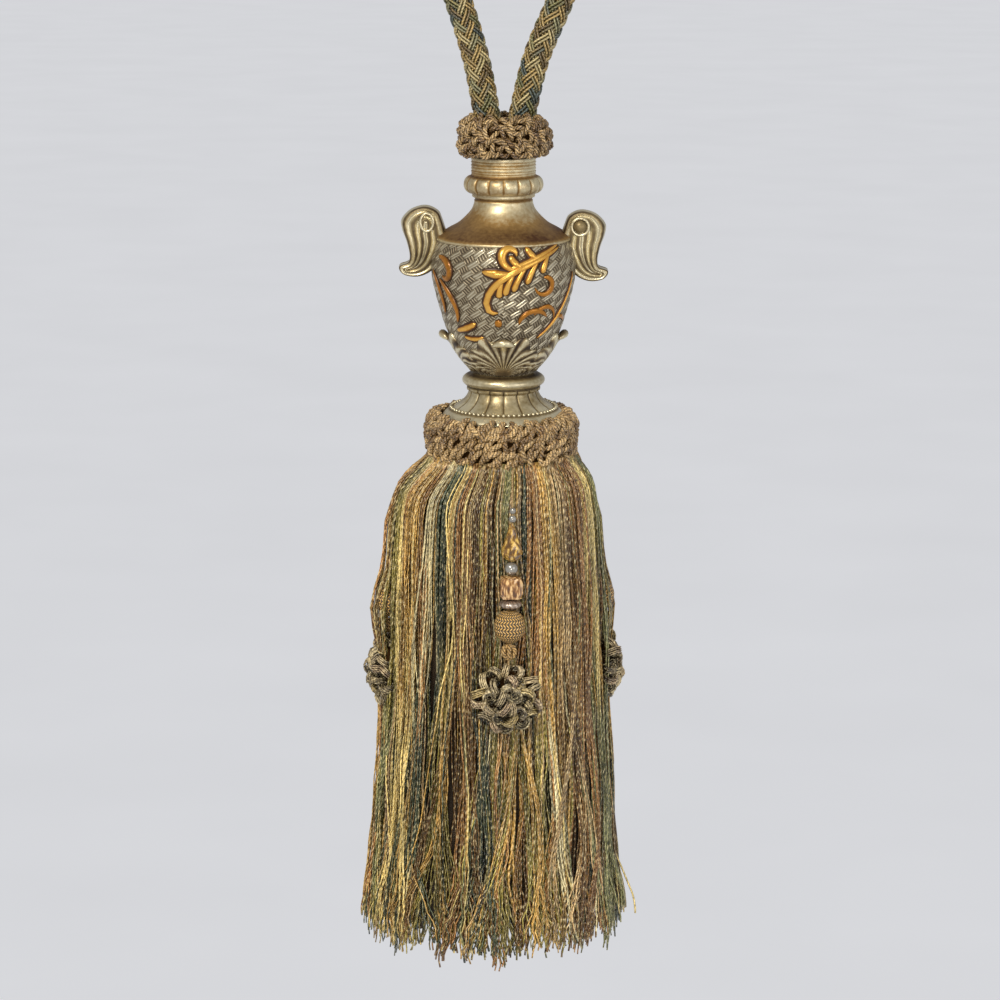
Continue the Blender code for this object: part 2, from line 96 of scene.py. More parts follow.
def ring(steps):
    # Angles once round, evenly spaced.
    return np.linspace(0, fullTurn, steps, endpoint=False)


def globe(reach, rows, columns, phase=0.0):
    # Unit ball: latitude from -reach to reach in radians, and longitude.
    rise, spin = np.linspace(-reach, reach, rows)[:, None], ring(columns)[None] + phase
    return np.stack(
        np.broadcast_arrays(np.cos(rise) * np.cos(spin), np.cos(rise) * np.sin(spin), np.sin(rise)), axis=-1
    )


def ease(low, high, value):
    # 0 below low, 1 above high, and an S between them.
    share = np.clip((value - low) / (high - low), 0, 1)
    return share * share * (3 - 2 * share)


def between(value, rise, fall):
    # Rises from 0 to 1 over the first pair of values and falls back over the second.
    return ease(*rise, value) * (1 - ease(*fall, value))


def peaks(value, *places):
    # Sum of bell curves, each given by its place and its width.
    return sum(np.exp(-(((value - place) / width) ** 2)) for place, width in places)


def linear(*colour):
    # Screen colour 0-255 to linear light.
    share = np.array(colour, float) / 255
    return np.where(share <= 0.04045, share / 12.92, ((share + 0.055) / 1.055) ** 2.4)


# A shell is a dictionary: points, quads and triangles with their pattern coordinates, and values per point
# such as tint (colour) and how deep a point lies in the relief, which darkens it with glaze, and in places
# with painted shade.
def gridShell(points, uv=None, wrap=True, capped=False, **values):
    # A grid of points as quads: rows go up, columns go round. Capped ends are fans to their middles.
    rows, columns = points.shape[:2]
    index = np.arange(rows * columns).reshape(rows, columns)
    after = np.roll(index, -1, axis=1)
    if uv is None:
        uv = np.stack(np.meshgrid(np.linspace(0, 1, columns), np.linspace(0, 1, rows)), axis=-1)
    uvAfter = np.roll(uv, -1, axis=1)
    uvAfter[:, -1] = 2 * uv[:, -1] - uv[:, -2]
    if not wrap:
        index, after, uv, uvAfter = (grid[:, :-1] for grid in (index, after, uv, uvAfter))
    shell = {
        "points": points.reshape(-1, 3),
        "quads": np.stack((index[:-1], after[:-1], after[1:], index[1:]), axis=-1).reshape(-1, 4),
        "quadUv": np.stack((uv[:-1], uvAfter[:-1], uvAfter[1:], uv[1:]), axis=2).reshape(-1, 4, 2),
        "tris": np.zeros((0, 3), int),
        "triUv": np.zeros((0, 3, 2)),
    }
    for key, value in values.items():
        value = np.asarray(value, float)
        tail = value.shape[2:] if value.shape[:2] == (rows, columns) else value.shape
        shell[key] = np.broadcast_to(value, (rows, columns) + tail).reshape((rows * columns,) + tail)
    if capped:
        middles = [np.full(columns, rows * columns + end) for end in (0, 1)]
        low = np.stack((after[0], index[0], middles[0]), axis=-1)
        high = np.stack((index[-1], after[-1], middles[1]), axis=-1)
        shell["tris"], shell["triUv"] = np.vstack((low, high)), np.zeros((2 * columns, 3, 2))
        shell["points"] = np.vstack((shell["points"], points[0].mean(axis=0), points[-1].mean(axis=0)))
        for key in values:
            shell[key] = np.concatenate((shell[key], shell[key][[0, (rows - 1) * columns]]))
    return shell


def sweep(paths, radius, sides, reference, flat=1.0, closed=False, start=0.0, **values):
    # A round section carried square to each path; its first side turns towards path x reference, and
    # flat squashes it along the reference. Start is the pattern's first place along each path. A value
    # is given once, per path, per station, or per edge of the section.
    count, stations = paths.shape[:2]
    if closed:
        tangent = unit(np.roll(paths, -1, axis=1) - np.roll(paths, 1, axis=1))
    else:
        tangent = unit(np.gradient(paths, axis=1))
    side = unit(np.cross(tangent, reference))
    up = np.cross(side, tangent)
    radius = np.broadcast_to(radius, (count, stations))[..., None, None]
    angle = (np.arange(sides) * fullTurn / sides)[:, None]
    section = np.cos(angle) * side[:, :, None, :] + flat * np.sin(angle) * up[:, :, None, :]
    points = paths[:, :, None, :] + radius * section
    # Each quad runs from its station to the next; only a closed path has one from the last to the first.
    index = np.arange(count * stations * sides).reshape(count, stations, sides)
    walked = walkedAlong(paths) + np.broadcast_to(start, (count,))[:, None]
    walkedNext = np.roll(walked, -1, axis=1)
    walkedNext[:, -1] = 2 * walked[:, -1] - walked[:, -2]
    used = stations if closed else stations - 1
    here, after = index[:, :used], np.roll(index, -1, axis=1)[:, :used]
    quads = np.stack((here, after, np.roll(after, -1, axis=2), np.roll(here, -1, axis=2)), axis=-1)
    across = np.broadcast_to(np.arange(sides) / sides, here.shape)
    low, high = (np.broadcast_to(along[:, :used, None], here.shape) for along in (walked, walkedNext))
    corners = ((across, low), (across, high), (across + 1 / sides, high), (across + 1 / sides, low))
    quadUv = np.stack([np.stack(corner, axis=-1) for corner in corners], axis=-2)
    tris = [np.zeros((0, 3), int)]
    if not closed:
        tris += [index[:, 0, [0, i, i + 1]] for i in range(1, sides - 1)]
        tris += [index[:, -1, [0, i + 1, i]] for i in range(1, sides - 1)]
    shell = {"points": points.reshape(-1, 3), "quads": quads.reshape(-1, 4), "tris": np.vstack(tris)}
    shell["quadUv"] = quadUv.reshape(-1, 4, 2)
    shell["triUv"] = np.zeros((len(shell["tris"]), 3, 2))
    for key, value in values.items():
        value = np.asarray(value, float)
        tail = (3,) if key == "tint" else ()
        lead = value.shape[: value.ndim - len(tail)]
        value = value.reshape(lead + (1,) * (3 - len(lead)) + tail)
        shell[key] = np.broadcast_to(value, (count, stations, sides) + tail).reshape((-1,) + tail)
    return shell


def joined(shells):
    # Several shells as one; they all carry the same values.
    offsets = np.cumsum([0] + [len(shell["points"]) for shell in shells[:-1]])
    merged = {key: np.concatenate([shell[key] for shell in shells]) for key in shells[0]}
    for key in ("quads", "tris"):
        merged[key] = np.vstack([shell[key] + offset for shell, offset in zip(shells, offsets)])
    return merged


def moved(shell, turn=0.0, shift=(0, 0, 0), scale=(1, 1, 1)):
    # The shell scaled, turned about the upright axis and shifted.
    cosine, sine = math.cos(turn), math.sin(turn)
    spin = np.array([[cosine, -sine, 0], [sine, cosine, 0], [0, 0, 1]])
    return {**shell, "points": (shell["points"] * np.array(scale)) @ spin.T + np.array(shift)}


triangles = {}


def makePiece(name, shell, finish, slotName, *nodes, smooth=True, weld=0.0):
    # Puts a shell into a mesh; weld is the distance under which its doubled points are merged.
    mesh = bpy.data.meshes.new(name)
    points, quads, tris = shell["points"], shell["quads"], shell["tris"]
    corners = np.concatenate((quads.ravel(), tris.ravel())).astype(np.int32)
    starts = np.concatenate((np.arange(len(quads)) * 4, len(quads) * 4 + np.arange(len(tris)) * 3))
    uv = np.concatenate((shell["quadUv"].reshape(-1, 2), shell["triUv"].reshape(-1, 2)))
    mesh.vertices.add(len(points))
    mesh.vertices.foreach_set("co", (points * metres).astype(np.float32).ravel())
    mesh.loops.add(len(corners))
    mesh.loops.foreach_set("vertex_index", corners)
    mesh.polygons.add(len(starts))
    mesh.polygons.foreach_set("loop_start", starts.astype(np.int32))
    mesh.polygons.foreach_set("use_smooth", np.full(len(starts), smooth))
    mesh.update(calc_edges=True)
    mesh.uv_layers.new(name="pattern").data.foreach_set("uv", uv.astype(np.float32).ravel())
    if "tint" in shell:
        colours = np.column_stack((shell["tint"], np.ones(len(points)))).astype(np.float32)
        mesh.attributes.new("tint", "FLOAT_COLOR", "POINT").data.foreach_set("color", colours.ravel())
    if "hollow" in shell:
        depths = shell["hollow"].astype(np.float32)
        mesh.attributes.new("hollow", "FLOAT", "POINT").data.foreach_set("value", depths)
    mesh.validate()
    if weld:
        edit = bmesh.new()
        edit.from_mesh(mesh)
        bmesh.ops.remove_doubles(edit, verts=edit.verts[:], dist=weld * metres)
        bmesh.ops.dissolve_degenerate(edit, edges=edit.edges[:], dist=weld * metres / 2)
        bmesh.ops.recalc_face_normals(edit, faces=edit.faces[:])
        edit.to_mesh(mesh)
        edit.free()
    mesh.materials.append(finish)
    triangles[name] = len(mesh.loops) - 2 * len(mesh.polygons)
    piece = bpy.data.objects.new(name, mesh)
    bpy.context.scene.collection.objects.link(piece)
    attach(piece, "root")
    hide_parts(*nodes)
    return piece


class Socket:
    # Wraps a node's output, so that an expression on it adds Math nodes.
    def __init__(self, finish, output):
        self.finish, self.output = finish, output

    def to(self, operation, *others):
        return self.finish.maths(operation, self, *others)

    def __add__(self, other):
        return self.to("ADD", other)

    def __sub__(self, other):
        return self.to("SUBTRACT", other)

    def __rsub__(self, other):
        return self.finish.maths("SUBTRACT", other, self)

    def __mul__(self, other):
        return self.to("MULTIPLY", other)

    __radd__, __rmul__ = __add__, __mul__


class Finish:
    # One material, built node by node.
    def __init__(self, name, **constants):
        self.material = bpy.data.materials.new(name)
        self.material.use_nodes = True
        self.tree = self.material.node_tree
        self.shader = self.tree.nodes["Principled BSDF"]
        for socket, value in constants.items():
            self.shader.inputs[socket.replace("_", " ")].default_value = value

    def node(self, kind, settings=None, inputs=None, output=0):
        made = self.tree.nodes.new(kind)
        for key, value in (settings or {}).items():
            if key == "stops":
                elements = made.color_ramp.elements
                while len(elements) < len(value):
                    elements.new(0.5)
                for element, (place, colour) in zip(elements, value):
                    element.position, element.color = place, (*colour, 1)
            else:
                setattr(made, key, value)
        for key, value in (inputs or {}).items():
            self.feed(made.inputs[key], value)
        return Socket(self, made.outputs[output])

    def maths(self, operation, *values):
        return self.node("ShaderNodeMath", {"operation": operation}, dict(enumerate(values)))

    def feed(self, socket, value):
        if isinstance(value, Socket):
            self.tree.links.new(value.output, socket)
        elif hasattr(value, "__len__") and len(value) == 3 and len(socket.default_value) == 4:
            socket.default_value = (*value, 1)
        else:
            socket.default_value = value

    def ramp(self, share, *stops):
        return self.node("ShaderNodeValToRGB", {"stops": stops}, {0: share})

    def mixed(self, share, first, second, blend="MIX"):
        inputs = {0: share, 6: first, 7: second}
        return self.node("ShaderNodeMix", {"data_type": "RGBA", "blend_type": blend}, inputs, 2)

    def shaded(self, shade):
        # The piece's tint, darkened or lightened by a number.
        grey = self.node("ShaderNodeCombineColor", inputs={0: shade, 1: shade, 2: shade})
        return self.mixed(1.0, self.attribute("tint", "Color"), grey, "MULTIPLY")

    def place(self):
        return self.node("ShaderNodeTexCoord", output="Object")

    def pattern(self):
        # The piece's own map: how far round and how far along.
        uv = self.node("ShaderNodeUVMap", {"uv_map": "pattern"})
        return (self.node("ShaderNodeSeparateXYZ", inputs={0: uv}, output=i) for i in (0, 1))

    def noise(self, scale, detail=2.0, vector=None):
        inputs = {"Vector": vector or self.place(), "Scale": scale, "Detail": detail, "Roughness": 0.5}
        return self.node("ShaderNodeTexNoise", inputs=inputs)

    def attribute(self, name, output="Fac"):
        return self.node("ShaderNodeAttribute", {"attribute_name": name}, output=output)

    def bump(self, height, depth):
        inputs = {"Height": height, "Distance": depth * metres, "Strength": 1.0}
        self.set(Normal=self.node("ShaderNodeBump", inputs=inputs))

    def set(self, **values):
        for key, value in values.items():
            self.feed(self.shader.inputs[key.replace("_", " ")], value)
        return self.material


def yarnFinish(name, plyPitch, ridge, roughness, speckLight, glint=0.0):
    # Twisted yarn: slanting ply ridges along the thread, painted lighter on their crests and darker in the
    # grooves;
    # painted specks of highlight where fibres catch the light, and longer painted glints where the yarn turns
    # its flat side to the light.
    finish = Finish(name, Specular_IOR_Level=0.7)
    turn, along = finish.pattern()
    ply = ((turn + along * (1 / plyPitch)) * fullTurn).to("SINE") * 0.5 + 0.5
    specks = finish.noise(1300.0, 1.0)
    patches = finish.noise(90.0)
    # Painted light and shade: ply crests lighter and grooves darker, specks lighter and darker; the broad
    # patches are the yarn's own tone.
    shade = ply * 0.5 * ridge + (specks - 0.5) * speckLight * 1.6 + patches * 0.4 + (0.8 - 0.25 * ridge)
    if glint:
        walk = finish.node("ShaderNodeCombineXYZ", inputs={0: turn * 0.5, 1: along * 0.5})
        flash = finish.noise(1.0, 2.0, walk)
        shade = shade + (flash - 0.48) * 4.0 * glint
    colour = finish.shaded(shade.to("MAXIMUM", 0.14))
    if glint:
        # Painted highlight: where a glint is strong, the colour is mixed towards cream.
        gleam = (flash - 0.54) * 7.0 + (ply - 0.5) * 0.7
        gleam = gleam.to("MAXIMUM", 0.0).to("MINIMUM", 1.0)
        colour = finish.mixed(gleam * 0.62, colour, linear(236, 218, 168))
    finish.bump(ply + specks * 0.6, 0.2)
    return finish.set(Base_Color=colour, Roughness=roughness + specks * 0.2)


cameraSet = {"aim": (-0.0014, 0.0, -0.2685), "distance": 1.3, "down": math.radians(12.5), "lens": 117.0}
lightAim = (0.0, 0.0, -0.27)
lightSet = (
    {"name": "key", "at": (-0.45, -1.0, 0.75), "size": 0.35, "power": 17.0, "colour": (1.0, 0.96, 0.88)},
    {"name": "fill", "at": (0.95, -0.9, 0.1), "size": 0.8, "power": 3.8, "colour": (0.95, 0.95, 1.0)},
    {"name": "front", "at": (0.05, -1.5, -0.1), "size": 0.25, "power": 5.0, "colour": (1.0, 0.98, 0.95)},
)
skySet = {"colour": (0.93, 0.95, 1.0, 1), "strength": 0.45}
floorSet = {"height": -2.6, "half": 60.0, "darker": (0.84, 0.84, 0.85), "lighter": (0.90, 0.90, 0.91)}


def addObject(name, data):
    made = bpy.data.objects.new(name, data)
    bpy.context.scene.collection.objects.link(made)
    return made


scene = bpy.context.scene
cameraData = bpy.data.cameras.new("camera")
cameraData.lens, cameraData.sensor_width, cameraData.clip_end = cameraSet["lens"], 36.0, 200.0
scene.camera = addObject("camera", cameraData)
down, reach = cameraSet["down"], cameraSet["distance"]
away = np.array((0.0, -reach * math.cos(down), reach * math.sin(down)))
scene.camera.location = np.array(cameraSet["aim"]) + away
scene.camera.rotation_euler = (math.pi / 2 - down, 0.0, 0.0)
scene.view_settings.view_transform = "Standard"

for light in lightSet:
    lightData = bpy.data.lights.new(light["name"], "AREA")
    lightData.size, lightData.energy, lightData.color = light["size"], light["power"], light["colour"]
    lamp = addObject(light["name"], lightData)
    lamp.location = light["at"]
    aim = unit(np.array(lightAim) - np.array(light["at"]))
    lamp.rotation_euler = (math.acos(-aim[2]), 0, math.atan2(aim[1], aim[0]) - math.pi / 2)

scene.world = bpy.data.worlds.new("studio")
scene.world.use_nodes = True
background = scene.world.node_tree.nodes["Background"]
background.inputs[0].default_value, background.inputs[1].default_value = skySet["colour"], skySet["strength"]

floorFinish = Finish("pale_floor", Roughness=0.9, Specular_IOR_Level=0.0, Emission_Strength=0.34)
floorTone = floorFinish.mixed(floorFinish.noise(1.5, 3.0), floorSet["darker"], floorSet["lighter"])
floorFinish.set(Base_Color=floorTone, Emission_Color=floorTone)
floorMesh = bpy.data.meshes.new("floor")
half, level = floorSet["half"], floorSet["height"]
floorCorners = [(-half, -half, level), (half, -half, level), (half, half, level), (-half, half, level)]
floorMesh.from_pydata(floorCorners, [], [(0, 1, 2, 3)])
floorMesh.materials.append(floorFinish.material)
addObject("floor", floorMesh)
print("camera, light and floor done")


ropeSet = {
    "diameter": 11.0,
    "stations": 300,
    "pitch": 38.8,  # one full turn of a strand, along the rope
    "strands": 8,  # in each direction
    "split": (-0.17, 0.17),  # a strand's two yarns, radians round the rope
    "middle": 4.42,  # radius midway between the over and the under of the weave
    "weave": 0.48,
    "flatness": 2.0,  # how flat the tops of the weave are
    "yarn": 0.57,
    "sides": 4,
    # ridge: painted light and shade on a yarn's four edges, the outer edge lit and the others shaded.
    "ridge": (0.3, 1.5, 0.3, 0.25),  # brightness of a yarn's four edges: side, outer, side, inner
    "dyeRun": 13.0,  # a strand's two dyes change places along this length
    "patchRun": 6.0,
    "patch": 0.22,  # how much lighter and darker a yarn gets along it
    "core": 3.9,
    "coreSides": 10,
}
# Centre line of the loop, across and up, from the left leg's foot to the right one's.
ropeRoute = (
    (-5.9, -130.5), (-6.1, -121.7), (-6.9, -112.5), (-10.9, -92.3), (-17.6, -70.5), (-25.2, -51.7),
    (-30.0, -32.7), (-28.0, -14.7), (-16.4, 0.1), (0.0, 5.5), (17.0, -0.1), (29.2, -14.7), (32.4, -32.7),
    (28.8, -51.7), (21.9, -70.5), (12.8, -92.3), (7.8, -112.5), (6.4, -121.7), (6.2, -130.5),
)
ropeTints = {
    "gold": linear(138, 115, 66), "straw": linear(156, 140, 96), "olive": linear(96, 92, 52),
    "teal": linear(58, 66, 58), "brown": linear(92, 74, 40), "sage": linear(112, 108, 76),
}
rightTints = ("gold", "straw", "sage", "teal", "olive", "brown", "gold", "straw")
leftTints = ("gold", "straw", "gold", "brown", "olive", "sage", "teal", "gold")


def ropeBraid():
    # Woven over two and under two. A yarn's distance from the middle is a wave with flat tops of how far
    # round the rope it is, and the other direction does the opposite, which makes columns of stitches.
    flat = smoothLine(ropeRoute, ropeSet["stations"])
    route = np.column_stack((flat[:, 0], np.zeros(len(flat)), flat[:, 1]))
    walked = walkedAlong(route)
    side = np.cross(unit(np.gradient(route, axis=0)), -toBack)
    strands, flatness = ropeSet["strands"], ropeSet["flatness"]
    paths, tints = [], []
    for direction, names in ((1, rightTints), (-1, leftTints)):
        for k in range(strands):
            for offset in ropeSet["split"]:
                angle = direction * fullTurn * walked / ropeSet["pitch"] + fullTurn * k / strands + offset
                wave = np.cos(strands / 2 * (angle - offset) - math.pi / 4)
                wave = np.tanh(flatness * wave) / math.tanh(flatness)
                out = ropeSet["middle"] + direction * ropeSet["weave"] * wave
                spoke = np.cos(angle)[:, None] * -toBack + np.sin(angle)[:, None] * side
                paths.append(route + out[:, None] * spoke)
                dye = np.sin(walked / ropeSet["dyeRun"] + 2.1 * k + 1.5 * offset + direction)
                share = 0.5 + 0.5 * np.tanh(3 * dye)[:, None]
                first, second = ropeTints[names[k]], ropeTints[names[(k + 3) % len(names)]]
                tints.append(first * (1 - share) + second * share)
    paths, tints = np.array(paths), np.array(tints)
    patchStart = np.arange(len(paths))[:, None, None] * 2.4
    patch = 1 + ropeSet["patch"] * np.sin(walked[None, :, None] / ropeSet["patchRun"] + patchStart)
    # Painted light and shade: each yarn's outer edge is lightened and its sides and inner edge darkened, as
    # if the valleys between yarns were shaded.
    tints = (tints * patch)[:, :, None, :] * np.array(ropeSet["ridge"])[:, None]
    yarns = sweep(paths, ropeSet["yarn"], ropeSet["sides"], unit(paths - route[None]), tint=tints)
    # Painted shade: a near-black core inside the braid, seen as the shade in the gaps between the yarns.
    dark = linear(30, 22, 12)[None]
    core = sweep(route[None, ::4], ropeSet["core"], ropeSet["coreSides"], -toBack, tint=dark)
    return joined([yarns, core]), route


braid, ropeLine = ropeBraid()
ropeLine = ropeLine * metres
rope = makePiece("rope_braid", braid, yarnFinish("braid_yarn", 1.4, 0.7, 0.3, 0.6), "braided_rope", "rope")


# Twisted cord, for the ruff, the collar and the knots.
gimpSet = {
    "plies": 3,
    "pitch": 4.4,
    "sides": 5,
    "plyShare": 0.5,  # a ply's radius and its distance from the middle, as shares of the cord's radius
    "centreShare": 0.5,
    "core": 0.4,
    # The core's tint, darkened as painted shade in the gaps between plies; then the brightness of a ply's
    # inner side, painted shade, and of its outer one, painted light.
    "coreDark": 0.14,
    "dark": 0.08,  # brightness of a ply's inner side and of its outer one
    "bright": 1.55,
}
gimpFinish = yarnFinish("gimp_cord", 0.9, 0.3, 0.26, 0.9)


def gimp(paths, radius, reference, tints, seed):
    # Plies that wind round each path: the distance walked sets their angle.
    draws = np.random.default_rng(seed)
    tangent = unit(np.gradient(paths, axis=1))
    side = unit(np.cross(tangent, reference))
    up = np.cross(side, tangent)
    plies, sides = gimpSet["plies"], gimpSet["sides"]
    first = draws.uniform(0, fullTurn, len(paths))[:, None]
    shells = []
    for ply in range(plies):
        angle = first + fullTurn * (walkedAlong(paths) / gimpSet["pitch"] + ply / plies)
        spoke = np.cos(angle)[..., None] * side + np.sin(angle)[..., None] * up
        wound = paths + radius * gimpSet["centreShare"] * spoke
        shade = tints * draws.uniform(0.86, 1.14, (len(paths), 1))
        shell = sweep(wound, radius * gimpSet["plyShare"], sides, reference, tint=shade)
        # Painted light and shade: the side of a ply that faces into the cord is darker and its outer side
        # lighter.
        places = shell["points"].reshape(wound.shape[:2] + (sides, 3))
        fromMiddle = np.linalg.norm(places - paths[:, :, None], axis=-1) / radius
        light = gimpSet["dark"] + (gimpSet["bright"] - gimpSet["dark"]) * ease(0.7, 1.0, fromMiddle)
        shell["tint"] = shell["tint"] * light.reshape(-1, 1)
        shells.append(shell)
    # Painted shade: a dark core under the plies, seen in the gaps between them.
    core = sweep(paths, radius * gimpSet["core"], 4, reference, tint=tints * gimpSet["coreDark"])
    return joined(shells + [core])


# A row of cord arches: height and radius of its middle, how many, outward tilt and slant in degrees,
# length, bulge, shift as a share of the spacing, and how far their heights stray.
archColumns = ("height", "radius", "count", "tilt", "slant", "length", "bulge", "shift", "stray")
ruffSet = {
    "stations": 13,
    "slantStray": 1.0,
    "centreX": 0.3,
    "cord": 1.0,
    "shade": 0.52,
    "rows": (
        (106.4, 16.6, 30, -36, 60, 4.6, 3.6, 0.0, 0.3),
        (109.0, 17.7, 36, -14, 70, 4.8, 3.8, 0.5, 0.3),
        (112.0, 17.9, 36, 0, 110, 4.8, 3.8, 0.0, 0.3),
        (115.0, 17.6, 36, 8, 60, 4.8, 3.8, 0.5, 0.3),
        (117.8, 16.6, 32, 24, 80, 4.8, 3.6, 0.0, 0.3),
        (119.8, 14.2, 26, 46, 95, 4.6, 3.0, 0.0, 0.3),
        (120.8, 10.8, 12, 66, 110, 4.4, 2.2, 0.0, 0.3),
    ),
    # Profile of the band under the arches, height and radius.
    "band": ((106.0, 6.8), (106.0, 14.2), (111.0, 14.8), (117.0, 14.2), (119.4, 11.4), (119.8, 6.8)),
}
collarSet = {
    "stations": 10,
    "slantStray": 0.5,
    "centreX": collarX,
    "cord": 1.24,
    "shade": 0.62,
    "rows": (
        (2.6, 27.7, 54, 46, 70, 5.2, 2.4, 0.0, 0.3),
        (0.6, 29.2, 60, 20, 58, 5.4, 2.5, 0.5, 0.3),
        (-1.8, 29.8, 60, 2, 50, 5.4, 2.5, 0.0, 0.3),
        (-5.2, 29.9, 60, 0, 54, 5.4, 2.5, 0.5, 0.3),
        (-8.8, 29.8, 60, -4, 50, 5.4, 2.5, 0.0, 0.3),
        (-12.4, 29.2, 56, -22, 58, 5.2, 2.4, 0.5, 0.6),
    ),
    "band": (
        (-12.9, 27.5), (-12.4, 27.9), (-5.0, 28.2), (0.4, 27.9), (2.0, 26.8), (1.8, 25.2), (-0.8, 25.2),
        (-0.8, 27.5),
    ),
}


def arches(settings, seed, low, high):
    # Each arch leaves the band, bulges outwards as a half wave and goes back in.
    draws = np.random.default_rng(seed)
    t = np.linspace(0, 1, settings["stations"])
    arch = np.sin(math.pi * t)[None]
    paths, references, tints = [], [], []
    for values in settings["rows"]:
        row = dict(zip(archColumns, values))
        count = row["count"]
        turn = fullTurn * (np.arange(count) + row["shift"]) / count + draws.normal(0, 0.03, count)
        height = row["height"] + draws.normal(0, row["stray"], count)
        tilt = (np.radians(row["tilt"]) + draws.normal(0, 0.12, count))[:, None]
        slant = (np.radians(row["slant"]) + draws.normal(0, settings["slantStray"], count))[:, None]
        length = row["length"] * draws.uniform(0.85, 1.15, count)[:, None]
        bulge = row["bulge"] * draws.uniform(0.8, 1.2, count)[:, None]
        out = np.cos(tilt) * outward(turn) + np.sin(tilt) * upright
        rise = np.cos(tilt) * upright - np.sin(tilt) * outward(turn)
        run = np.cos(slant) * outward(turn + math.pi / 2) + np.sin(slant) * rise
        middle = around(row["radius"], turn, height, settings["centreX"])
        along = (t - 0.5)[None] * length * (1 + 0.35 * arch)
        lift = bulge * arch**0.8 - row["bulge"]
        bend = draws.normal(0, 0.5, count)[:, None] * arch
        across = np.cross(out, run)
        path = middle[:, None] + along[..., None] * run[:, None] + lift[..., None] * out[:, None]
        paths.append(path + bend[..., None] * across[:, None])
        references.append(across)
        mix = draws.uniform(0, 1, count)[:, None]
        tints.append(low * (1 - mix) + high * mix)
    return np.vstack(paths), np.vstack(references)[:, None, :], np.vstack(tints)


def cordBand(name, settings, seed, node):
    # Arches of cord over a band painted dark as the shade between them, which is a profile carried round the
    # axis.
    low, high = linear(118, 86, 44) * settings["shade"], linear(216, 180, 122) * settings["shade"]
    paths, references, tints = arches(settings, seed, low, high)
    cords = gimp(paths, settings["cord"], references, tints, seed + 1)
    line = np.array(settings["band"], float)
    band = around(line[:, 1:2], ring(72)[None], line[:, 0:1], settings["centreX"])
    makePiece(name, cords, gimpFinish, "twisted_cord", node)
    bandShell = gridShell(np.vstack((band, band[:1])))
    makePiece(node + "_band", bandShell, shadowBandFinish.material, "twisted_cord", node)


# Painted shade: the band under the cords, and the pad under the rosettes' curls, are near black, as the shade
# between them.
shadowBandFinish = Finish("band_core_shadow", Roughness=0.95, Specular_IOR_Level=0.0)
shadowBandFinish.set(Base_Color=shadowBandFinish.mixed(shadowBandFinish.noise(500.0), linear(34, 22, 10), linear(58, 38, 18)))
cordBand("ruff_loops", ruffSet, 11, "ruff")
cordBand("collar_cord", collarSet, 21, "collar")
print("ruff and collar done")


def castFinish(name, proud, sunk, warm, roughness, metallic, hatch=False):
    # Antiqued cast metal colour: the hollows keep the dark glaze and the proud parts are rubbed light; the
    # same value also carries painted shade, as under the leaves' rolled tips.
    finish = Finish(name, Specular_IOR_Level=0.5)
    hollow = finish.attribute("hollow")
    blotch = finish.noise(60.0, 3.0)
    grain = finish.noise(700.0)
    height = grain * 0.35
    if hatch:
        # Over cells show a few long lines, under cells show short bars across the row.
        along, across = finish.pattern()
        over = ((along + 0.5).to("FLOOR") + across.to("FLOOR")).to("PINGPONG", 1.0)
        long, short = ((way * fullTurn * many).to("SINE") for way, many in ((across, 2.0), (along, 4.0)))
        lines = long * (1 - over) + short * over
        hollow = hollow + lines * -0.3 + 0.03
        height = height + lines * 1.4
    shade = hollow + (blotch - 0.5) * 0.8 + (grain - 0.5) * 0.45
    finish.bump(height, 0.10)
    return finish.set(
        Base_Color=finish.ramp(shade, (0.0, linear(*proud)), (0.45, linear(*warm)), (1.0, linear(*sunk))),
        Roughness=hollow * 0.25 + (blotch * 0.12 + (roughness - 0.06)),
        Metallic=metallic - hollow * 0.35,
    )


def dividing(turn, count):
    # 1 on each of so many evenly spaced lines round the urn, and 0 midway between two of them.
    return np.abs(((turn / fullTurn * count) % 1) - 0.5) * 2


neckSet = {"columns": 160, "lobes": 16, "groove": 0.65, "grooveWidth": 0.121, "crown": 0.35, "step": 0.45}
reedSet = {"low": 98.4, "high": 104.4, "first": 102.7, "pitch": 1.2, "depth": 0.22}
neckProfile = (
    ((72.0, 25.6), (72.4, 26.3), (72.9, 26.6), (73.4, 26.3)),
    ((73.4, 26.2), (74.6, 24.9), (76.6, 21.7), (79.1, 17.4), (83.4, 13.1), (86.3, 11.7), (87.8, 11.5)),
    ((87.8, 11.5), (88.3, 11.1), (88.8, 11.5)),
    ((88.8, 12.1), (89.6, 12.4), (90.4, 12.2)),
    ((90.4, 12.4), (91.0, 14.1), (92.2, 15.3), (94.0, 15.8), (95.8, 15.3), (96.9, 14.2), (97.4, 12.9)),
    ((97.4, 12.7), (98.4, 12.6), (104.6, 12.6)),
    ((104.6, 12.6), (105.0, 12.2), (105.0, 8.0)),
)
# Darker towards the bottom of the shoulder, most just above its rim; how dark at each height.
shoulderDarkening = ((73.0, 74.2, 76.5, 79.5, 83.0, 87.0), (0.0, 0.75, 0.72, 0.5, 0.2, 0.0))  # at each height


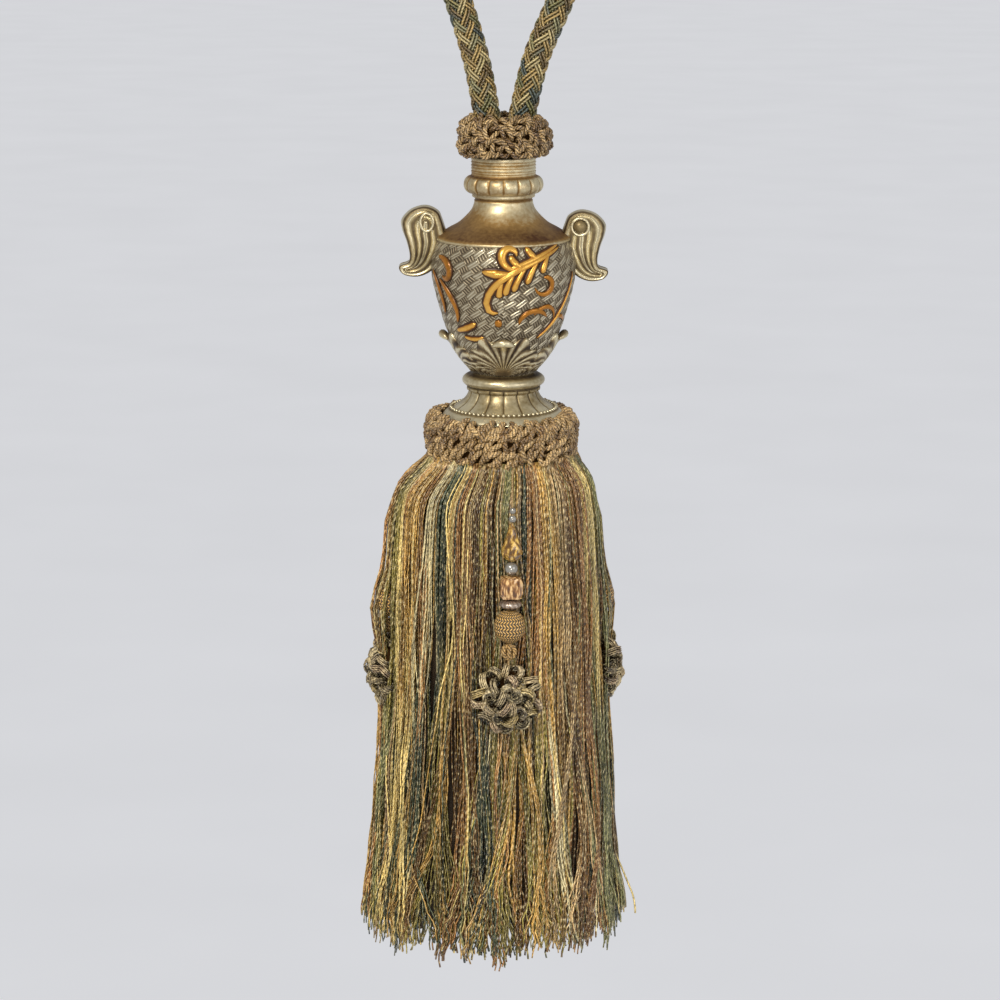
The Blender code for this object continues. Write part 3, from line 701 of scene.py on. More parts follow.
def urnNeck():
    # Turned profile; the ring's lobes swell between grooves, and the reeds are a wave up the neck.
    line = profileLine(neckProfile, neckSet["step"])
    height, radius, turn = line[:, 0:1], line[:, 1:2], ring(neckSet["columns"])[None]
    reed = np.cos(fullTurn * (height - reedSet["first"]) / reedSet["pitch"])
    reed = np.where((height > reedSet["low"]) & (height < reedSet["high"]), reed, 0)
    lobe = dividing(turn, neckSet["lobes"])
    lobed = between(height, (90.6, 92.0), (96.2, 97.4))
    groove = peaks(1 - lobe, (0, neckSet["grooveWidth"])) * lobed
    out = radius + reedSet["depth"] * reed - neckSet["groove"] * groove
    out = out - neckSet["crown"] * lobe**2 * lobed
    seam = peaks(height, (88.3, 0.5), (97.5, 0.5))
    hollow = np.interp(height, *shoulderDarkening) + 0.55 * groove + 0.7 * seam + 0.3 * (reed < -0.2) + 0.12
    return gridShell(around(out, turn, height), capped=True, hollow=np.clip(hollow, 0, 1))


bodySet = {
    "columns": 352,
    "rows": 124,
    "diagonals": 41,  # rows of the basket pattern, counted round the body
    "cells": 28,
    "slope": math.radians(37.0),
    "rowPitch": 2.3,
    "cellPitch": 4.4,
    "pillow": 0.26,
    "sunk": 0.2,
}
bodyProfile = (
    (19.2, 11.8), (20.2, 12.7), (24.4, 16.0), (29.0, 19.0), (33.6, 21.3), (39.4, 23.5), (44.0, 24.9),
    (52.0, 27.1), (58.0, 28.3), (62.0, 28.7), (66.0, 28.4), (70.0, 27.2), (72.6, 26.0),
)


def bodyRadius(height):
    # Radius of the urn's body, read off its smoothed profile.
    line = smoothLine(bodyProfile, 200)
    return np.interp(height, line[:, 0], line[:, 1])


def urnBody():
    # Diagonal rows rise to the right. Every other cell of a row lies under its neighbours.
    line = smoothLine(bodyProfile, bodySet["rows"])
    walked, turn = walkedAlong(line)[:, None], ring(bodySet["columns"])[None]
    share = turn / fullTurn
    across = walked * math.cos(bodySet["slope"]) / bodySet["rowPitch"] - share * bodySet["diagonals"]
    along = walked * math.sin(bodySet["slope"]) / bodySet["cellPitch"] + share * bodySet["cells"]
    across = across + 0.09 * np.sin(turn * 9 + walked * 0.35)
    along = along + 0.14 * np.sin(np.floor(across) * 2.1) + 0.08 * np.sin(turn * 13 - walked * 0.5)
    rowShape = np.sin(math.pi * (across % 1)) ** 0.3
    over = np.cos(math.pi * (along + np.floor(across)))
    cellShape = 0.66 + 0.34 * np.sign(over) * np.abs(over) ** 0.3
    relief = bodySet["pillow"] * rowShape * cellShape - bodySet["sunk"]
    edge = between(walked, (0.5, 2.0), (walked[-1] - 0.6, walked[-1] - 0.2))
    hollow = np.clip(0.95 - rowShape * cellShape, 0, 1) * 0.9 + 0.05
    uv = np.stack((along, np.broadcast_to(across, along.shape)), axis=-1)
    points = around(line[:, 1:2] + relief * edge, turn, line[:, 0:1])
    return gridShell(points, uv=uv, capped=True, hollow=hollow)


footSet = {"columns": 208, "panels": 16, "groove": 0.42, "grooveWidth": 0.09, "crown": 0.22, "step": 0.4}
beadSet = {"count": 64, "radius": 0.72, "ring": 20.9, "height": 5.4}
footProfile = (
    ((0.0, 20.0), (0.0, 23.2)),
    ((0.0, 23.4), (0.8, 24.1), (1.9, 24.3), (2.7, 24.0), (3.8, 22.9), (4.6, 21.9)),
    ((4.6, 21.7), (5.2, 21.5), (5.2, 20.4)),
    ((5.2, 20.2), (6.2, 18.6), (7.6, 16.5), (9.4, 14.8), (11.4, 13.8), (12.2, 13.6)),
    ((12.2, 14.1), (13.0, 14.5), (13.9, 14.4)),
    ((13.9, 14.0), (14.3, 13.8)),
    ((14.3, 14.6), (15.2, 15.9), (16.3, 16.4), (17.5, 16.0), (18.5, 14.7), (18.9, 13.2)),
    ((18.9, 13.0), (20.2, 11.0)),
)


def urnFoot():
    # Turned profile; its cone has panels that swell between grooves, and a row of small balls at its foot.
    line = profileLine(footProfile, footSet["step"])
    height, radius, turn = line[:, 0:1], line[:, 1:2], ring(footSet["columns"])[None]
    panel = dividing(turn, footSet["panels"])
    groove = peaks(1 - panel, (0, footSet["grooveWidth"]))
    cone = between(height, (5.2, 6.0), (13.6, 14.0))
    out = radius - (footSet["groove"] * groove - footSet["crown"] * (1 - panel**2)) * cone
    seam = peaks(height, (5.0, 0.45), (14.1, 0.4), (18.9, 0.7))
    # The cone also darkens towards its top.
    hollow = 0.85 * np.clip(groove * cone, 0, 1) + 0.8 * seam + 0.1 + 0.22 * ease(6, 9, height) * cone
    shell = gridShell(around(out, turn, height), capped=True, hollow=np.clip(hollow, 0, 1))
    bead = gridShell(globe(1.3, 6, 8) * beadSet["radius"], capped=True, hollow=0.0)
    places = [around(beadSet["ring"], spot, beadSet["height"]) for spot in ring(beadSet["count"])]
    return joined([shell] + [moved(bead, shift=place) for place in places])


leafSet = {
    "base": 19.6,
    "columns": 81,
    "rows": 22,
    "spread": math.radians(84.0),
    "thickness": 1.1,
    "tipOut": 2.6,
    "curl": 1.55,  # radius of the rolled tip
    "curlSpread": math.radians(11.0),
    "curlSides": 10,
    "curlStations": 15,
    "underside": -0.5,  # how far the back lies inside the body
    "lobes": (0.0, 26.0, 47.0, 67.0),  # degrees from upright
    "rib": 0.36,
    "ribPitch": 14.0,
}
# How far the leaf reaches from its foot in each direction, degrees from upright and millimetres.
leafReach = (
    (0, 19.4), (9, 18.6), (13, 17.6), (20, 21.2), (27, 21.9), (34, 19.6), (38, 17.6), (46, 19.8),
    (53, 18.4), (58, 15.8), (66, 16.4), (74, 13.6), (84, 9.0),
)


def leafBlade():
    # Polar grid on the body's surface: angle from upright and share of the reach in that direction.
    # Ribs fan out from the foot, the lobes are crowned, and the border falls to the body.
    angle = np.linspace(-leafSet["spread"], leafSet["spread"], leafSet["columns"])[None]
    share = np.linspace(0.02, 1, leafSet["rows"])[:, None]
    degrees = np.degrees(angle)
    reachHere = share * np.interp(np.abs(degrees), *np.array(leafReach, float).T)
    line = smoothLine(bodyProfile, 400)
    upper = line[np.searchsorted(line[:, 0], leafSet["base"]) :]
    walked, up = walkedAlong(upper), reachHere * np.cos(angle)
    tip = peaks(degrees, (0, 9.5)) * ease(0.66, 1.0, share)
    height = np.interp(up - 1.6 * tip * share, walked, upper[:, 0])
    turn = reachHere * np.sin(angle) / np.interp(up, walked, upper[:, 1])
    nearLobe = np.min(np.abs(np.abs(degrees)[..., None] - np.array(leafSet["lobes"])), axis=-1)
    crown = 1 - ease(4.0, 11.0, nearLobe) * 0.8 * ease(0.15, 0.6, share)
    ribs = np.cos(degrees / (0.34 + 0.66 * share) * fullTurn / leafSet["ribPitch"])
    ribs = ribs * ease(0.1, 0.35, share) * (1 - 0.6 * tip)
    border = 1 - ease(0.93, 1.0, share) * (1 - tip)
    thick = leafSet["thickness"] * (0.45 + 0.55 * ease(0.0, 0.5, share)) * border
    rise = thick * (0.62 + 0.38 * crown) + leafSet["rib"] * ribs * border + leafSet["tipOut"] * tip**1.2
    side = ease(leafSet["spread"], leafSet["spread"] - 0.12, np.abs(angle))
    rise = rise * side + (1 - side) * leafSet["underside"]
    onBody = np.interp(height, line[:, 0], line[:, 1])
    front = around(onBody + rise, turn, height + 0.25 * rise * (1 - tip))
    under = np.maximum(leafSet["tipOut"] * tip - 2.2, leafSet["underside"])
    under = np.where(share > 0.9, under, leafSet["underside"])
    back = around(onBody + np.broadcast_to(under, rise.shape), turn, height)
    hollow = np.clip(0.72 - 0.7 * ribs - 0.45 * crown + 0.4 * (1 - ease(0.0, 0.3, share)), 0.02, 1)
    hollow = np.concatenate((hollow, np.full_like(hollow, 0.45)))
    blade = gridShell(np.concatenate((front, back[::-1])), wrap=False, hollow=hollow)
    # The tip rolls over: a short fat roll that tapers and droops to its ends.
    sides, stations = leafSet["curlSides"], leafSet["curlStations"]
    place = np.linspace(-1, 1, stations)
    tipHeight = np.interp(leafReach[0][1] - 1.4, walked, upper[:, 0]) - 1.7 * place**2
    tipRadius = np.interp(tipHeight, line[:, 0], line[:, 1]) + leafSet["tipOut"] - 0.2 - 1.3 * place**2
    roll = around(tipRadius, leafSet["curlSpread"] * place, tipHeight)[None]
    # Painted shade: the roll is darker on one side, as shade under the rolled tip.
    shadow = np.broadcast_to(0.42 - 0.4 * np.cos(ring(sides) + 0.6), (1, stations, sides))
    size = leafSet["curl"] * np.sqrt(1.02 - place**2)
    return joined([blade, sweep(roll, size[None], sides, upright, hollow=shadow)])


# The sprays, built by rule. A stroke leaves its foot (turn in degrees, height) at a heading in degrees,
# 0 to the right and 90 up, and bends by turning x share**late over its length.
# Width is the half width at its foot, its middle and its end.
strokeColumns = ("foot", "heading", "length", "turning", "late", "width")
stemStroke = ((53.0, 71.6), 199.0, 48.0, 175.0, 4.5, (0.5, 1.45, 1.4))
stemLeaflets = (
    {"side": -1, "shares": (0.26, 0.42), "count": 2, "lengths": (4.0, 8.5), "angle": 34.0, "turning": -62.0,
     "width": (0.5, 1.45, 1.2)},
    {"side": 1, "shares": (0.16, 0.60), "count": 5, "lengths": (6.5, 11.5), "angle": 26.0, "turning": 30.0,
     "width": (0.4, 1.15, 1.4)},
)
giltStrokes = (
    ((52.0, 72.6), 199.0, 26.0, 0.0, 4.5, (0.5, 1.1, 0.8)),  # beside the stem
    ((11.0, 63.8), 172.0, 18.0, -265.0, 1.6, (0.6, 1.9, 1.1)),
    ((6.0, 62.6), 184.0, 11.5, -16.0, 1.0, (0.9, 2.0, 0.7)),
    ((68.0, 61.0), 272.0, 29.0, -52.0, 0.8, (0.4, 0.9, 0.4)),
    ((-50.0, 38.6), 8.0, 11.0, 24.0, 1.0, (0.8, 1.4, 1.1)),
    ((-42.0, 36.4), -22.0, 9.0, 48.0, 1.0, (0.6, 1.0, 0.6)),
)
amberStrokes = (
    ((25.0, 57.0), -68.0, 17.0, 262.0, 1.2, (0.5, 1.5, 1.0)),
    ((27.0, 45.6), 58.0, 15.0, -160.0, 1.2, (1.0, 1.1, 0.5)),
    ((14.0, 42.0), 96.0, 16.0, -150.0, 0.8, (1.2, 1.4, 0.6)),
    ((-8.0, 42.8), 0.0, 2.9, 0.0, 1.0, (1.3, 2.0, 1.3)),
    ((51.0, 43.0), 28.0, 9.0, -86.0, 1.2, (0.4, 1.1, 0.7)),
    ((-63.0, 67.6), -6.0, 18.0, -236.0, 2.2, (0.7, 2.0, 1.0)),
    ((-60.0, 59.0), -42.0, 20.0, -84.0, 1.8, (0.7, 1.6, 0.8)),
    ((-71.0, 62.0), -52.0, 19.0, -64.0, 1.4, (0.6, 1.3, 0.6)),
)
spraySet = {"stations": 22, "sides": 10, "taper": 9.0, "widen": 0.95}


def strokeLine(stroke):
    # Line of a stroke as (turn in degrees, height), and its heading at each point.
    share = np.linspace(0, 1, 4 * spraySet["stations"])
    heading = np.radians(stroke["heading"] + stroke["turning"] * share ** stroke["late"])
    step = stroke["length"] / (len(share) - 1)
    height = stroke["foot"][1] + step * (np.cumsum(np.sin(heading)) - np.sin(heading[0]))
    across = step * (np.cumsum(np.cos(heading)) - np.cos(heading[0]))
    turn = stroke["foot"][0] + np.degrees(across / bodyRadius(height))
    return np.column_stack((turn, height)), np.degrees(heading)


def leafyStem():
    # The stem, with leaflets at even steps on both sides of it. Those in the middle are the longest.
    stem = dict(zip(strokeColumns, stemStroke))
    line, heading = strokeLine(stem)
    strokes = []
    for leaflets in stemLeaflets:
        low, high = leaflets["lengths"]
        for k, share in enumerate(np.linspace(*leaflets["shares"], leaflets["count"])):
            at = int(share * (len(line) - 1))
            fullness = math.sin(math.pi * (k + 0.5) / leaflets["count"])
            strokes.append({
                **leaflets,
                "foot": tuple(line[at]),
                "heading": heading[at] + leaflets["side"] * leaflets["angle"],
                "length": low + (high - low) * fullness,
                "late": 1.0,
            })
    return stem, strokes


def spray(strokes, grow=0.0, flat=0.7, lift=0.4, base=0.0):
    # Strokes as sweeps on the body, the same on its back. With grow they are wider: the glazed ground
    # under the gilt ones.
    stations, sides = spraySet["stations"], spraySet["sides"]
    share = np.linspace(0, 1, stations)
    heights = np.linspace(20, 73, 200)
    slopes = np.gradient(bodyRadius(heights), heights[1] - heights[0])
    top = np.sin(np.arange(sides) * fullTurn / sides)  # 1 on top of the stroke, 0 at its sides
    glaze = np.broadcast_to(np.clip(0.95 + base - 1.2 * top, 0.02, 1), (1, stations, sides))
    tapered = np.clip(share * spraySet["taper"], 0.02, 1) * np.clip(share[::-1] * spraySet["taper"], 0.02, 1)
    shells = []
    for mirror in (0, 1):
        for stroke in strokes:
            line = smoothLine(strokeLine(stroke)[0], stations)
            turn, height = np.radians(line[:, 0]) + math.pi * mirror, line[:, 1]
            path = around(bodyRadius(height) + lift, turn, height)[None]
            normal = unit(outward(turn) - np.interp(height, heights, slopes)[:, None] * upright)[None]
            width = np.interp(share, (0, 0.55, 1), stroke["width"]) * np.sqrt(tapered)
            width = width[None] * spraySet["widen"] + grow
            shells.append(sweep(path, width, sides, normal, flat=flat, hollow=glaze))
    return joined(shells)


handleSet = {
    "thickness": 9.6,
    "edge": 0.36,  # share of the way to the middle line over which the face rounds up
    "ridges": 2.9,
    "ridgeDepth": 1.05,
    "columns": 120,
    "rows": 34,
    "tilt": 0.9,  # the left handle sits this much higher and the right one lower
    "eyes": {-1: (2.5, 3.5), 1: (3.3, 3.3)},  # half width and half height of the ring in the eye
    "eyePlace": (30.0, 78.6),
    "eyeWire": 0.62,
    "eyeBall": 2.5,
}
# Outline of a handle: outward, height, and where its middle line is met (0 the eye, 1 the tip).
handleOutline = (
    (24.0, 79.6, 0.0), (25.8, 83.0, 0.0), (30.6, 84.9, 0.0), (36.2, 83.4, 0.0), (40.0, 79.4, 0.04),
    (39.9, 75.4, 0.16), (38.2, 70.6, 0.38), (37.0, 65.4, 0.62), (37.6, 62.4, 0.84), (41.2, 60.8, 1.0),
    (39.0, 57.8, 1.0), (33.6, 56.9, 0.86), (28.4, 58.8, 0.72), (24.8, 63.0, 0.55), (21.6, 70.0, 0.34),
    (22.4, 74.2, 0.15),
)
handleMiddle = ((30.4, 78.4), (30.6, 74.0), (30.4, 70.2), (31.6, 65.0), (34.0, 61.2), (37.4, 59.6))


def scrollHandle(side):
    # Two faces from the outline to the middle line: each rounds up quickly, stays nearly flat, and has
    # ridges that follow the outline.
    base, thickness = plateHeight - side * handleSet["tilt"], handleSet["thickness"]
    outline = smoothLine(handleOutline, handleSet["columns"], closed=True)
    middle = smoothLine(handleMiddle, 60)
    meets = np.clip(outline[:, 2], 0, 1)
    inner = np.column_stack([np.interp(meets, np.linspace(0, 1, 60), column) for column in middle.T])
    share = np.linspace(0, 1, handleSet["rows"])[:, None]
    flat = outline[None, :, :2] * (1 - share[..., None]) + inner[None] * share[..., None]
    dome = np.sqrt(1 - (1 - np.minimum(share / handleSet["edge"], 1)) ** 2)
    lower = ease(0.55, 0.95, meets)[None]
    depth = thickness / 2 * dome * (0.94 + 0.06 * share) * (1 - 0.35 * lower * share)
    wave = 0.5 + 0.5 * np.cos(fullTurn * handleSet["ridges"] * (share + 0.02))
    ridge = wave**1.5 * (1 - 0.5 * lower) * between(share, (0.02, 0.12), (0.9, 1.0))
    relief = handleSet["ridgeDepth"] * (ridge - 0.4 * ease(0.02, 0.12, share))[..., None]
    hollow = np.broadcast_to(np.clip(0.95 - wave * 1.3, 0.02, 0.95), depth.shape)
    shells = []
    for face in (-1, 1):
        points = np.stack((side * flat[..., 0], face * depth, base + flat[..., 1]), axis=-1)
        across = np.roll(points, -1, axis=1) - np.roll(points, 1, axis=1)
        normal = unit(np.cross(across, np.gradient(points, axis=0))) * (-side * face)
        points = points + relief * normal
        order = slice(None, None, -1 if side * face > 0 else 1)  # keeps the faces outward
        shells.append(gridShell(points[order], hollow=hollow[order]))
        # The eye: a ball in a ring on the right, a hollow loop on the left.
        spin, (wide, tall) = ring(40), handleSet["eyes"][side]
        out, up = handleSet["eyePlace"]
        centre = np.array((side * out, face * (thickness / 2 + 0.1), base + up))
        loop = centre + np.column_stack((wide * np.cos(spin), np.zeros(40), tall * np.sin(spin)))
        wire = sweep(loop[None], handleSet["eyeWire"], 8, toBack, closed=True, hollow=np.array([0.1]))
        shells.append(wire)
        if side > 0:
            ball = gridShell(globe(1.45, 14, 24) * handleSet["eyeBall"], capped=True, hollow=0.55)
            shells.append(moved(ball, shift=centre, scale=(1, 0.8, 1)))
    return joined(shells)


paleGold = castFinish("cast_pale_gold", (204, 192, 158), (54, 38, 18), (136, 118, 80), 0.3, 0.78)
satinGold = castFinish("cast_satin_shoulder", (212, 200, 164), (72, 42, 14), (150, 118, 68), 0.39, 0.85)
silverTones = ((196, 186, 160), (66, 54, 38), (136, 122, 96))
silverCast = castFinish("cast_silver_gold", *silverTones, 0.34, 0.7, hatch=True)
leafCast = castFinish("cast_leaf", (214, 202, 166), (48, 34, 18), (136, 116, 82), 0.28, 0.75)
giltFinish = castFinish("gilt", (222, 170, 78), (86, 46, 8), (166, 104, 28), 0.26, 0.7)
amberGlaze = castFinish("amber_glaze", (168, 108, 26), (50, 26, 4), (88, 52, 10), 0.22, 0.5)

stem, leaflets = leafyStem()
giltAll, amberAll = (
    [dict(zip(strokeColumns, values)) for values in strokes] for strokes in (giltStrokes, amberStrokes)
)
giltAll = [stem, giltAll[0]] + leaflets + giltAll[1:]
leaf = leafBlade()
leafCup = joined([moved(leaf, turn=turn) for turn in ring(4)])
amber = joined([spray(amberAll), spray(giltAll, grow=0.75, flat=0.3, lift=0.0, base=0.7)])
for name, shell, finish, weld in (
    ("urn_neck", urnNeck(), satinGold, 0.0),
    ("urn_body", urnBody(), silverCast, 0.0),
    ("urn_foot", urnFoot(), paleGold, 0.0),
    ("urn_leaves", leafCup, leafCast, 0.02),
    ("urn_gilt_spray", spray(giltAll), giltFinish, 0.0),
    ("urn_amber_scrolls", amber, amberGlaze, 0.0),
    ("handle_left", scrollHandle(-1), paleGold, 0.02),
    ("handle_right", scrollHandle(1), paleGold, 0.02),
):
    makePiece(name, shell, finish, "antique_gold", "urn", weld=weld)
print("urn done")


skirtSet = {
    "stations": 34,
    "top": -12.2,
    "end": -205.5,
    "longest": -215.0,
    "endStray": (2.4, 1.5),  # of a lock's end and of a thread's own
    "bunching": 0.095,  # stations closer together at the top and at the end
    "lockStray": 0.4,  # how far a lock stands off its even place, as a share of the spacing
    # sheen: how strongly a bundle's colour is painted lighter and darker along it; lowerLight: how much
    # lighter the threads are towards their ends.
    "sheen": 0.3,
    "lowerLight": 0.16,
    "mixing": 0.2,  # share of threads with a tint of their own
}
# Radius of the outermost threads at each height.
skirtProfile = (
    (-12.0, 28.4), (-14.0, 29.4), (-17.0, 31.8), (-20.5, 35.2), (-25.0, 38.4), (-33.0, 40.2), (-57.0, 42.0),
    (-90.0, 43.2), (-115.0, 44.4), (-135.0, 46.2), (-156.0, 48.2), (-181.0, 49.6), (-200.0, 50.2),
    (-235.0, 50.6),
)
# Waves along a lock or a thread: the fewest and the most over its length, and their size in mm.
threadWaves = {
    "sway": (0.4, 1.1, 1.5), "ripple": (1.2, 2.6, 0.8), "depth": (0.8, 2.2, 0.9), "spread": (0.8, 2.6, 0.35),
    "bend": (2.0, 5.0, 0.30), "kink": (6.0, 12.0, 0.16), "kinkIn": (6.0, 12.0, 0.12),
    "wander": (0.5, 1.4, 1.6), "frizz": (13.0, 21.0, 0.55), "sheen": (1.4, 4.2, 1.0),
}
# Sideways pushes: the share of locks or threads that get one, its size in mm, and where along them it
# starts and is full.
threadPushes = {
    "swing": (1.0, 4.2, 0.55, 1.0), "stray": (0.3, 7.0, 0.3, 0.95), "cross": (0.4, 2.6, 0.0, 0.5),
    "tuft": (1.0, 4.0, 0.8, 1.0), "wander": (0.25, 1.0, 0.02, 0.4), "flick": (1.0, 1.5, 0.84, 1.0),
}
outerLayer = {
    "locks": 176, "threads": 5, "thread": 0.34, "width": 2.3, "shade": 1.0,
    "near": -0.3, "far": 2.4,  # depth of the locks under the profile
    "dent": 1.0,  # how much they give way behind a string
    "cover": 0.95, "coverFrom": 0.0, "drape": 1.0,  # how many hang over a side string, from where, how far
}
# The inner layer's threads are darker (shade 0.72): painted shade under the outer ones.
innerLayer = {
    "locks": 132, "threads": 3, "thread": 0.46, "width": 2.8, "shade": 0.72,
    "near": 2.4, "far": 5.4, "dent": 0.9, "cover": 0.9, "coverFrom": 0.12, "drape": 0.9,
}
bundleSet = {"count": 120, "stations": 18, "radius": 1.35, "sides": 5, "top": -13.0, "end": -200.0}
stringSet = {
    "top": -26.4, "topTurn": math.radians(9.0), "endTurn": math.radians(5.6), "turnsOver": 75.0,
    "radius": 43.0, "slope": 0.075, "most": 47.3,
}
# The side strings hang in hollows between the threads: height and radius of their beads.
nestedRoute = (
    (-24.8, 36.4), (-42.0, 38.2), (-57.6, 39.0), (-66.0, 40.4), (-72.8, 42.2), (-83.0, 44.45), (-92.0, 45.8),
)
# Where the threads lie that hang over a side string.
coverRoute = (
    (-12.0, 20.0), (-20.0, 30.0), (-26.0, 38.6), (-40.0, 43.2), (-57.6, 44.4), (-64.0, 45.8), (-72.8, 49.0),
    (-80.0, 48.6), (-90.0, 47.2), (-102.0, 46.2), (-120.0, 46.6), (-156.0, 48.2), (-235.0, 50.6),
)
# How the threads give way behind a string: height, depth in mm, width in degrees.
openDent = (
    (-20, 0.0, 16), (-33, 0.8, 16), (-60, 3.4, 16), (-98, 5.6, 17), (-125, 4.0, 17), (-155, 1.4, 17),
    (-200, 0.0, 17),
)
nestDent = (
    (-17, 0.0, 9), (-25, 4.0, 9), (-42, 9.0, 9.5), (-75, 9.5, 10), (-88, 8.0, 13), (-118, 6.0, 15),
    (-140, 2.0, 14), (-165, 0.0, 14),
)
# The yarns: colour, and share of the locks.
yarnTints = {
    "gold": (linear(186, 146, 74), 0.21), "straw": (linear(218, 192, 118), 0.15),
    "olive": (linear(134, 120, 56), 0.14), "sage": (linear(124, 122, 76), 0.10),
    "rust": (linear(148, 106, 58), 0.09), "taupe": (linear(158, 130, 86), 0.12),
    "silver": (linear(192, 178, 134), 0.07), "teal": (linear(62, 70, 50), 0.04),
    "brown": (linear(106, 74, 30), 0.08),
}
# Broad streaks: middle and half width in degrees from the front, the yarn above and the yarn below.
yarnStreaks = (
    (-71, 6, "olive", "sage"), (-56, 7, "gold", "straw"), (-46, 3, "rust", "taupe"),
    (-39, 3.8, "silver", "teal"), (-31, 4, "teal", "olive"), (-25, 3, "straw", "gold"),
    (-19, 3, "rust", "brown"), (-13, 3.4, "taupe", "rust"), (-5, 5.2, "brown", "teal"),
    (4, 3, "sage", "olive"), (11, 3, "taupe", "gold"), (17, 3, "teal", "brown"), (24, 3.4, "rust", "olive"),
    (30, 2.8, "gold", "silver"), (35, 2, "gold", "gold"), (40, 4, "taupe", "brown"),
    (49, 4, "brown", "taupe"), (58, 4, "rust", "rust"), (68, 5, "straw", "sage"),
)


def tableAt(table, height, column=1):
    # A column of a table whose first one is the height, from the top down; straight between its rows.
    table = np.array(table, float)[::-1]
    return np.interp(height, table[:, 0], table[:, column])


def stringTurn(height):
    # The front string leans evenly from its top turn to its end turn, and the others do the same.
    share = np.clip((stringSet["top"] - height) / stringSet["turnsOver"], 0, 1)
    return stringSet["topTurn"] + (stringSet["endTurn"] - stringSet["topTurn"]) * share


def dent(turn, height):
    # How far the threads give way behind the four strings: a bell curve round each.
    total = 0.0
    for quarter in range(4):
        table = nestDent if quarter % 2 else openDent
        middle = stringTurn(height) + fullTurn * quarter / 4
        away = np.degrees(np.abs((turn - middle + math.pi) % fullTurn - math.pi))
        total = total + tableAt(table, height) * peaks(away, (0, tableAt(table, height, 2)))
    return total


def skirtCentre(height):
    # The skirt's axis moves from the collar's to its own below the heading, and a little more at the end.
    return collarX + (skirtX - collarX) * ease(-14.0, -30.0, height) - 1.3 * ease(-150.0, -205.0, height)


def wave(draws, name, count, t):
    # A smooth wander along each line: one sine, its length and start chosen at random.
    fewest, most, size = threadWaves[name]
    phase = t * draws.uniform(fewest, most, (count, 1)) + draws.uniform(0, 1, (count, 1))
    return np.sin(fullTurn * phase) * size


def push(draws, name, count, t):
    share, size, start, full = threadPushes[name]
    chosen = draws.uniform(0, 1, (count, 1)) < share if share < 1 else 1.0
    return chosen * draws.normal(0, 1.0, (count, 1)) * size * ease(start, full, t)


